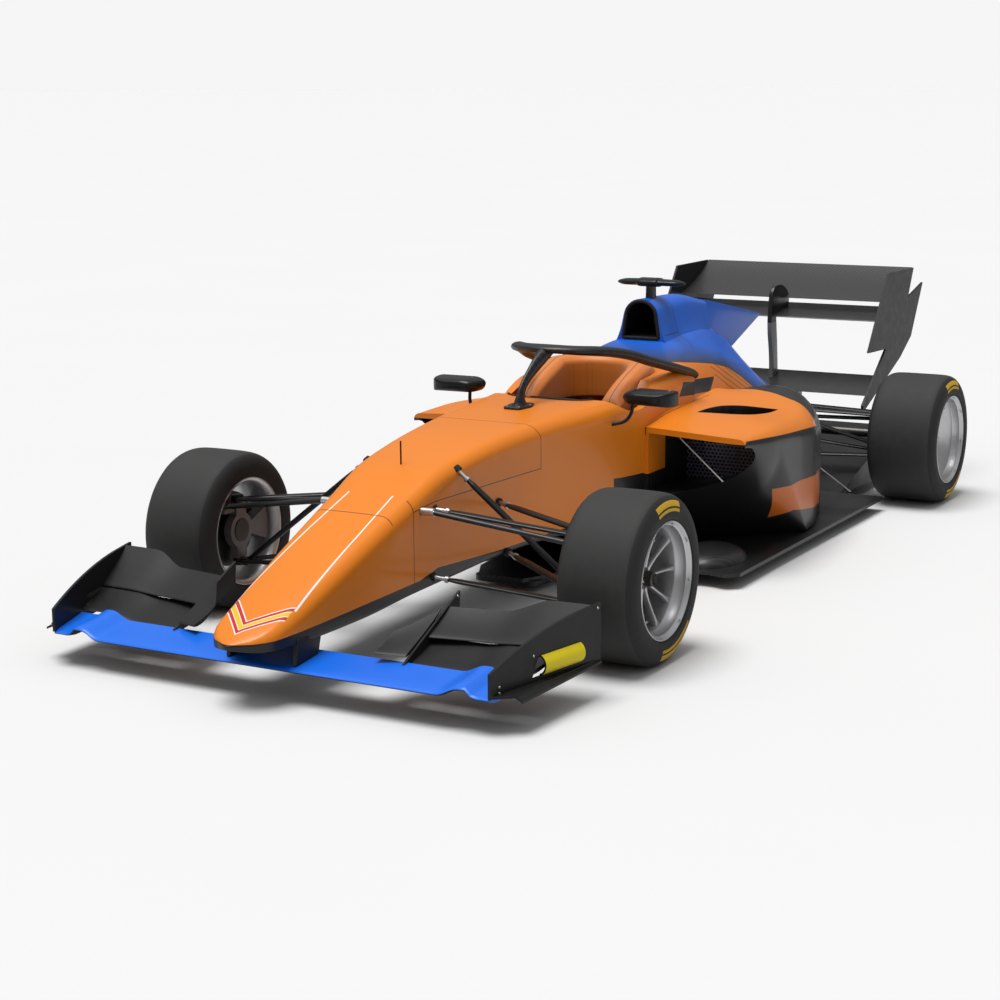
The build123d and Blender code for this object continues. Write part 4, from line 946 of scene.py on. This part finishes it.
def spokes(middle, side, face):
    """Thin spokes that widen at both ends, from the wheel centre out to the barrel."""
    shapes = []
    for c, s in circle(SPOKE_COUNT):
        out, along = Vector((c, 0, s)), Vector((-s, 0, c))
        rings = []
        for radius, depth, half, thick in SPOKE:
            place = Vector(middle) + out * radius + Vector((0, side * (face + depth), 0))
            narrow = half * SPOKE_TAPER
            corners = ((-half, -thick), (half, -thick), (narrow, thick), (-narrow, thick))
            outline = rounded([(u, v, SPOKE_ROUNDING) for u, v in corners], 2, 2)
            rings.append([place + along * u + Vector((0, side * v, 0)) for u, v in outline])
        shapes.append(skin(rings))
    return join(*shapes)


for corner in CORNERS:
    front = corner.startswith("front")
    side = 1 if corner.endswith("left") else -1
    axle_x, track, width, face = FRONT_WHEEL if front else REAR_WHEEL
    middle = (axle_x, side * track, AXLE_Z)
    body = f"wheel_{corner}"
    tread = tyre_rubber(f"tyre_rubber_{corner}", middle)
    add(f"slick_{corner}", tyre_shape(middle, width), tread, f"tyre_{corner}", "tyre", 50, body)
    half = width / 2 - RIM_INSET
    barrel = turned(offset(RIM_OUTSIDE, half) + offset(RIM_INSIDE, -half), side, middle, 96)
    if front:
        centre = spokes(middle, side, face + SPOKE_FACE)
    else:
        centre = turned(offset(DISH, face), side, middle, 80)
    add(f"wheel_{corner}", join(barrel, centre), alloy, f"rim_{corner}", "alloy", 40, body)
    nut = turned(offset(NUT, face), side, middle, 48, closed=False)
    add(f"wheel_nut_{corner}", nut, dark_steel, f"rim_{corner}", "steel", 40, body)
    studs = []
    for number in range(STUD_COUNT):
        turn = 2 * pi * number / STUD_COUNT + STUD_TURN
        out = Vector((cos(turn), 0, sin(turn)))
        place = Vector(middle) + out * STUD_RADIUS + Vector((0, side * (width / 2 - STUD_INSET), 0))
        studs.append((place, (0, side, 0)))
    add(f"rim_studs_{corner}", bolts(studs, 0.0035, 0.003), steel, body=body)

# Mirrors with glass and curved stalks; the shell shrinks towards its front, as pairs of x and scale
MIRROR = ((298, 676, 10), (316, 652, 16), (496, 650, 8), (496, 705, 10), (330, 706, 16), (300, 692, 10))
MIRROR_MIDDLE = Vector((400, 680))
MIRROR_LEVELS = ((324, 0.94), (327, 1.0), (352, 1.0), (378, 0.97), (400, 0.89), (415, 0.76), (423, 0.58),
                 (426, 0.34))
STALK = ((380, 338, 656), (384, 336, 622), (396, 316, 592), (412, 268, 578))
GLASS = ((322, 656, 12), (478, 656, 12), (478, 698, 12), (322, 698, 12))
GLASS_X, GLASS_SLANT = 328, 0.041
mirror_rings = []
for level, scale in MIRROR_LEVELS:
    outline = [MIRROR_MIDDLE + (point - MIRROR_MIDDLE) * scale for point in rounded(MIRROR, 5, 4)]
    mirror_rings.append(section(level, outline))
add("mirror_shells", mirrored(skin(mirror_rings)), gloss_black, "mirrors", "carbon", 50)
stalk = tube(curve_points([at(*place) for place in STALK], 6), 0.0065)
add("mirror_stalks", mirrored(stalk), black_paint, "mirrors", "carbon")
glass_rings = [[at(GLASS_X + drop - (y - 300) * GLASS_SLANT, y, z) for y, z in rounded(GLASS, 4, 3)]
               for drop in (1, -3)]
add("mirror_glass", mirrored(skin(glass_rings)), mirror_glass)

# Halo: a hoop that is broad in front, a pillar with flared ends, and a bolted foot; rows as for a fairing
HOOP = ((-268, 294, 674, 19, 16), (-236, 291, 688, 18, 17), (-139, 283, 714, 20, 18), (55, 257, 765, 23, 19),
        (158, 229, 797, 25, 19), (247, 196, 818, 28, 19), (321, 158, 829, 31, 18), (371, 107, 834, 35, 17),
        (397, 52, 838, 39, 16), (404, 0, 839, 41, 16))
PILLAR = ((606, 0, 648, 32, 50), (606, 0, 660, 22, 38), (603, 0, 684, 13, 26), (590, 0, 712, 11, 20),
          (566, 0, 738, 11, 19), (524, 0, 766, 13, 22), (474, 0, 795, 18, 27), (428, 0, 821, 28, 26),
          (404, 0, 837, 40, 18))
HALO_FOOT = ((542, -26, 12), (542, 26, 12), (600, 46, 14), (672, 34, 12), (672, -34, 12), (600, -46, 14))
hoop_rows = list(HOOP) + [(x, -y, *rest) for x, y, *rest in reversed(HOOP[:-1])]
halo_foot = soft_box(rounded(HALO_FOOT, 4, 3), at, 646, 660, 4)
add("halo_hoop", join(fairing(hoop_rows), fairing(PILLAR, (0, 1, 0)), halo_foot), halo_twill,
    "halo", "carbon", 60)

# Front wing, trimmed inside the slanted endplates: main plane with curled tips, flaps and inner winglets
PLATE_FRONT_X, PLATE_FRONT_Y, PLATE_SLANT = 2233, 783, 94 / 501
PLATE_OUT = Vector((PLATE_SLANT, 1, 0)).normalized()
# Rows: y, x and z of the leading edge; the flaps' rows also have chord and pitch
MAIN_PLANE = ((0, 2240, 103), (612, 2238, 103), (684, 2233, 127), (708, 2233, 127), (725, 2233, 110),
              (742, 2233, 106), (930, 2233, 106))
FLAPS = (
    ((425, 2064, 121, 156, 18), (600, 2064, 122, 156, 18),
     (700, 2066, 140, 152, 16), (930, 2066, 142, 152, 16)),
    ((425, 1958, 178, 144, 27), (600, 1932, 178, 142, 28),
     (740, 1928, 186, 190, 31), (930, 1928, 188, 188, 32)),
    ((330, 2112, 154, 118, 20), (417, 2078, 146, 228, 25)),
)
PLANE_CHORD, PLANE_PITCH, PLANE_CAMBER, PLANE_THICKNESS = 165, 9, 6, 20
FLAP_CAMBER, FLAP_THICKNESS = 8, 12


def plate_face(x):
    return PLATE_FRONT_Y + (PLATE_FRONT_X - x) * PLATE_SLANT


def foil_ring(y, leading_x, leading_z, chord, pitch, camber, thickness, count=12):
    """Wing section with a round nose and its hollow side up, held inside the endplates."""
    rise = radians(pitch)
    upper, lower = [], []
    for k in range(count + 1):
        s = (1 - cos(pi * k / count)) / 2
        bulge = 0.2969 * sqrt(s) - 0.126 * s - 0.3516 * s**2 + 0.2843 * s**3 - 0.1015 * s**4
        half = 5 * thickness * bulge + 1.2 * s
        for side, points in ((1, upper), (-1, lower)):
            lift = side * half - 4 * camber * s * (1 - s)
            x = leading_x - chord * s * cos(rise) + lift * sin(rise)
            z = leading_z + chord * s * sin(rise) + lift * cos(rise)
            limit = plate_face(x) + 4
            points.append(at(x, max(-limit, min(limit, y)), z))
    return upper + list(reversed(lower))[:-1]


half_plane = ease(MAIN_PLANE, 12)
plane_rows = [[-row[0], *row[1:]] for row in reversed(half_plane)] + half_plane[1:]
plane = skin([foil_ring(*row, PLANE_CHORD, PLANE_PITCH, PLANE_CAMBER, PLANE_THICKNESS) for row in plane_rows])
add("wing_main_plane", plane, blue_paint, "front_wing_main_plane", "blue_paint", 50)
blades = [skin([foil_ring(*row, FLAP_CAMBER, FLAP_THICKNESS) for row in ease(rows, 14)]) for rows in FLAPS]
add("wing_flaps", mirrored(join(*blades)), black_paint, "front_wing_flaps", "carbon", 50)

# Edge trim round the front of the cockpit, along the tub's top or the dip
TRIM_REAR, TRIM_FRONT, TRIM_Z, TRIM_SLOPE = 215, 400, 654, 0.12
trim = []
for x, y in rounded(COCKPIT, 6, 3)[:40]:
    if y >= 0 and x > TRIM_REAR:
        trim.append(at(x, y, min(TRIM_Z + (TRIM_FRONT - x) * TRIM_SLOPE, dip_height(x)) + 1))
trim.sort(key=lambda point: point.y - point.x)
edge_line = [Vector((p.x, -p.y, p.z)) for p in reversed(trim)] + trim
add("cockpit_trim", tube(edge_line, 0.0055, 10), rubber, angle=60)

# Front links: slim arms with bright rod ends and gaiters at the tub, and the eyes at the kingpins
KINGPIN_X, KINGPIN_Y, UPPER_Z, LOWER_Z = 1350, 715, 385, 165
# Radius and height round the pin
EYE = ((9, -14), (20, -14), (22, -12), (22, 12), (20, 14), (9, 14))
# Start inside the tub, end, y where the link leaves the tub, half width, half height
LINKS = (
    ((1501, 120, 464), (1362, 700, UPPER_Z), 171, 18, 8),
    ((1100, 140, 420), (1338, 700, UPPER_Z), 203, 18, 8),
    ((1512, 120, 242), (1362, 700, LOWER_Z), 170, 18, 8),
    ((1040, 150, 240), (1338, 700, LOWER_Z), 207, 18, 8),
    ((1349, 150, 580), (1350, 668, 176), 176, 12, 10),
)
PUSH_ROD_BLOCK = ((1322, 662, 8), (1378, 662, 8), (1372, 696, 8), (1328, 696, 8))


def eye(level):
    """Upright ring round the kingpin."""
    rings = [[at(KINGPIN_X + c * r, KINGPIN_Y + s * r, level + z) for r, z in EYE] for c, s in circle(32)]
    return skin(rings + rings[:1], caps=False)


arms, rod_ends, gaiters = [], [], []
for start, end, wall, wide, high in LINKS:
    start, end = Vector(start), Vector(end)
    run = (end - start).normalized()
    root = start + run * ((wall - start.y) / run.y)
    length = (end - root).length
    shares = ((46, 0.62), (60, 0.8), (110, 1.0), (length * 0.6, 1.0), (length - 50, 0.9), (length, 0.8))
    rows = [(*(root + run * place), wide * share, high * share) for place, share in shares]
    arms.append(fairing(rows, sides=16))
    for pieces, places, radius, sides in ((rod_ends, (-12, 20, 50), 0.0072, 14),
                                          (rod_ends, (38, 48), 0.0115, 14), (gaiters, (-14, 3), 0.015, 16)):
        pieces.append(tube([(root + run * place) * MM for place in places], radius, sides))
arms += [eye(UPPER_Z), eye(LOWER_Z), soft_box(rounded(PUSH_ROD_BLOCK, 4, 3), at, 156, 178, 4)]
add("front_arms", mirrored(join(*arms)), gloss_black, "front_wishbones", "carbon", 50)
add("rod_ends", mirrored(join(*rod_ends)), chrome, "front_wishbones", "steel", 50)
add("link_gaiters", mirrored(join(*gaiters)), rubber, angle=50)

# Steering wheel face: screen, buttons and grips on the side towards the driver
TILT = radians(12)
WHEEL_PLACE = Vector((325, 0, 570))
WHEEL_UP = Vector((sin(TILT), 0, cos(TILT)))
WHEEL_AWAY = Vector((cos(TILT), 0, -sin(TILT)))
SCREEN = ((-36, 4, 5), (36, 4, 5), (36, 48, 5), (-36, 48, 5))
BUTTONS = ((-56, 46), (-56, 22), (56, 46), (56, 22), (-44, -34), (-15, -34), (15, -34), (44, -34))
GRIP = ((108, -50), (128, -46), (128, 46), (108, 50))


def on_wheel(u, v, depth):
    return (WHEEL_PLACE + Vector((0, u, 0)) + WHEEL_UP * v + WHEEL_AWAY * depth) * MM


add("wheel_screen", soft_box(rounded(SCREEN, 3, 2), on_wheel, -3, 2, 1.5), screen, body="steering_wheel")
buttons = [(on_wheel(u, v, -1), -WHEEL_AWAY) for u, v in BUTTONS]
add("wheel_buttons", bolts(buttons, 0.0065, 0.006), red_lens, body="steering_wheel")
grips = [soft_box(rounded([(side * u, v, 7) for u, v in GRIP], 4, 4), on_wheel, -7, 30, 7)
         for side in (-1, 1)]
add("wheel_grips", join(*grips), rubber, body="steering_wheel", angle=60)

# Bolt heads on the halo foot, the mirrors, the wing plates and the fences
heads = [((x, y, 660), (0, 0, 1)) for x, y in ((556, 16), (600, 37), (658, 24))]
heads += [((350, y, 705.5), (0, 0, 1)) for y in (345, 470)]
heads += [((x, plate_face(x) + 9.2, z), PLATE_OUT)
          for x, z in ((1750, 276), (2046, 196), (2196, 140), (2196, 122))]
heads += [((1784, 425.2, 266), (0, 1, 0))]
head_shapes = bolts([(at(*place), out) for place, out in heads], 0.0046, 0.0034)
add("bolt_heads", mirrored(head_shapes), chrome, slot="steel")

# Domed blister on the floor ahead of each sidepod
BLISTER_X, BLISTER_Y, BLISTER_Z = 170, 560, 58
BLISTER_LONG, BLISTER_WIDE, BLISTER_HIGH, BLISTER_LEVELS = 172, 128, 62, 8
dome = []
for level in range(BLISTER_LEVELS + 1):
    turn = pi / 2 * level / BLISTER_LEVELS
    share = max(cos(turn), 0.01)
    outline = oval(BLISTER_X, BLISTER_Y, BLISTER_LONG * share, BLISTER_WIDE * share, 40)
    dome.append([at(x, y, BLISTER_Z + BLISTER_HIGH * sin(turn)) for x, y in outline])
add("floor_blisters", mirrored(skin(dome)), coarse_twill, slot="carbon", angle=60)

# Roll hoop camera: a fat middle, tapered arms and a slim stem; rows as for a fairing
CAMERA = ((-490, 0, 1004, 46, 18), (-490, 38, 1004, 45, 18), (-490, 50, 1004, 37, 14),
          (-492, 105, 1003, 33, 13), (-496, 132, 1002, 24, 9), (-500, 146, 1001, 10, 4))
STEM = ((-495, 0, 920, 40, 18), (-495, 0, 950, 37, 16), (-495, 0, 990, 36, 15), (-493, 0, 1004, 38, 16))
camera_rows = [(x, -y, *rest) for x, y, *rest in reversed(CAMERA[1:])] + list(CAMERA)
add("camera_housing", join(fairing(camera_rows, (1, 0, 0)), fairing(STEM, (1, 0, 0), 18)), gloss_black,
    "roll_hoop_camera", "carbon", 60)

# Rear wing pylon: a slim stem whose head hooks round the main plane
REAR_PYLON = ((-1872, 340, 4), (-1858, 560, 60), (-1832, 738, 12), (-1970, 745, 20), (-2006, 806, 40),
              (-1930, 872, 55), (-1792, 872, 50), (-1766, 690, 60), (-1800, 560, 60), (-1808, 340, 4))
add("wing_pylon", soft_box(rounded(REAR_PYLON, 6, 3), side_view, -9.5, 9.5, 3), pylon_finish,
    "rear_wing_pylon", "carbon", 50)

# Stays and antenna
STAYS = (((142, 420, 500), (155, 600, 352)), ((-926, 560, 231), (-1284, 582, 58)))
stays = [tube([at(*start), at(*end)], 0.0024, 8) for start, end in STAYS]
add("stays", mirrored(join(*stays)), white_wire)
add("antenna", tube([at(1417, 0, z) for z in (570, 600, 654)], 0.0028, 10), black_paint)

# CAD nodes that stay, each with its material
KEPT = (
    (gloss_black, ("rear_crash_structure", "rear_suspension_links")),
    (rack_metal, ("steering_rack",)),
    (core, ("radiators",)),
    (coarse_twill, ("floor", "diffuser")),
    (wing_twill, ("rear_wing_main_plane", "rear_wing_flap", "rear_beam_wing")),
    (cast, ("engine", "gearbox", "rear_uprights", "upright_front_left", "upright_front_right")),
    (red_lens, ("rain_light",)),
    (plate_black, ("front_wing_endplates",)),
    (black_paint, ("front_wing_fences", "rear_wing_endplates", "steering_wheel")),
    (dark_steel, tuple(f"hub_{corner}" for corner in CORNERS)),
)
for material, names in KEPT:
    for name in names:
        nodes[name].data.materials.clear()
        nodes[name].data.materials.append(material)

# Pale floor
FLOOR_REACH = 400
floor_corners = [(x * FLOOR_REACH, y * FLOOR_REACH, 0) for x, y in ((-1, -1), (1, -1), (1, 1), (-1, 1))]
ground = bpy.data.meshes.new("ground")
ground.from_pydata(floor_corners, [], [(0, 1, 2, 3)])
ground_object = link("ground", ground)
pale = Graph("pale_floor", roughness=0.9, specular=0.1)
pale.set("Base Color", pale.mix(pale.noise(0.7), (0.6, 0.6, 0.6), (0.615, 0.615, 0.615)))
ground.materials.append(pale.material)

# Studio light: a white backdrop, a dome that is brighter above, and one soft sun
world = bpy.data.worlds.new("studio")
bpy.context.scene.world = world
world.use_nodes = True
sky = world.node_tree.nodes
backdrop, dome_light = sky["Background"], sky.new("ShaderNodeBackground")
backdrop.inputs["Color"].default_value = (1.0, 1.0, 1.0, 1.0)
backdrop.inputs["Strength"].default_value = 0.92
direction, chooser = sky.new("ShaderNodeSeparateXYZ"), sky.new("ShaderNodeMixShader")
put(direction.inputs[0], Value(sky.new("ShaderNodeTexCoord").outputs["Generated"]))
put(dome_light.inputs["Strength"], Value(direction.outputs[2]).spread(0.1, 0.9, -0.1))
put(chooser.inputs[0], Value(sky.new("ShaderNodeLightPath").outputs["Is Camera Ray"]))
put(chooser.inputs[1], Value(dome_light.outputs[0]))
put(chooser.inputs[2], Value(backdrop.outputs[0]))
put(sky["World Output"].inputs[0], Value(chooser.outputs[0]))
sun = bpy.data.lights.new("sun", "SUN")
sun.energy = 3.3
sun.angle = 0.6
sun_object = link("sun", sun)
sun_object.rotation_euler = Vector((-0.16, 0.12, -1.0)).to_track_quat("-Z", "Y").to_euler()

# Camera at the photograph's place
CAMERA_PLACE = (7.01053, 3.50699, 1.80152)
CAMERA_ROLL = radians(-0.4497)
camera_data = bpy.data.cameras.new("camera")
camera_data.lens = 74.0
camera_data.sensor_width = 36.0
camera = link("camera", camera_data)
forward = Vector((-0.85453534, -0.47933672, -0.20001415)).normalized()
level = forward.cross(Vector((0, 0, 1))).normalized()
upward = level.cross(forward)
camera_x = level * cos(CAMERA_ROLL) + upward * sin(CAMERA_ROLL)
camera_y = upward * cos(CAMERA_ROLL) - level * sin(CAMERA_ROLL)
camera.matrix_world = Matrix((*zip(camera_x, camera_y, -forward, CAMERA_PLACE), (0, 0, 0, 1)))
bpy.context.scene.camera = camera
bpy.context.scene.view_settings.view_transform = "Standard"
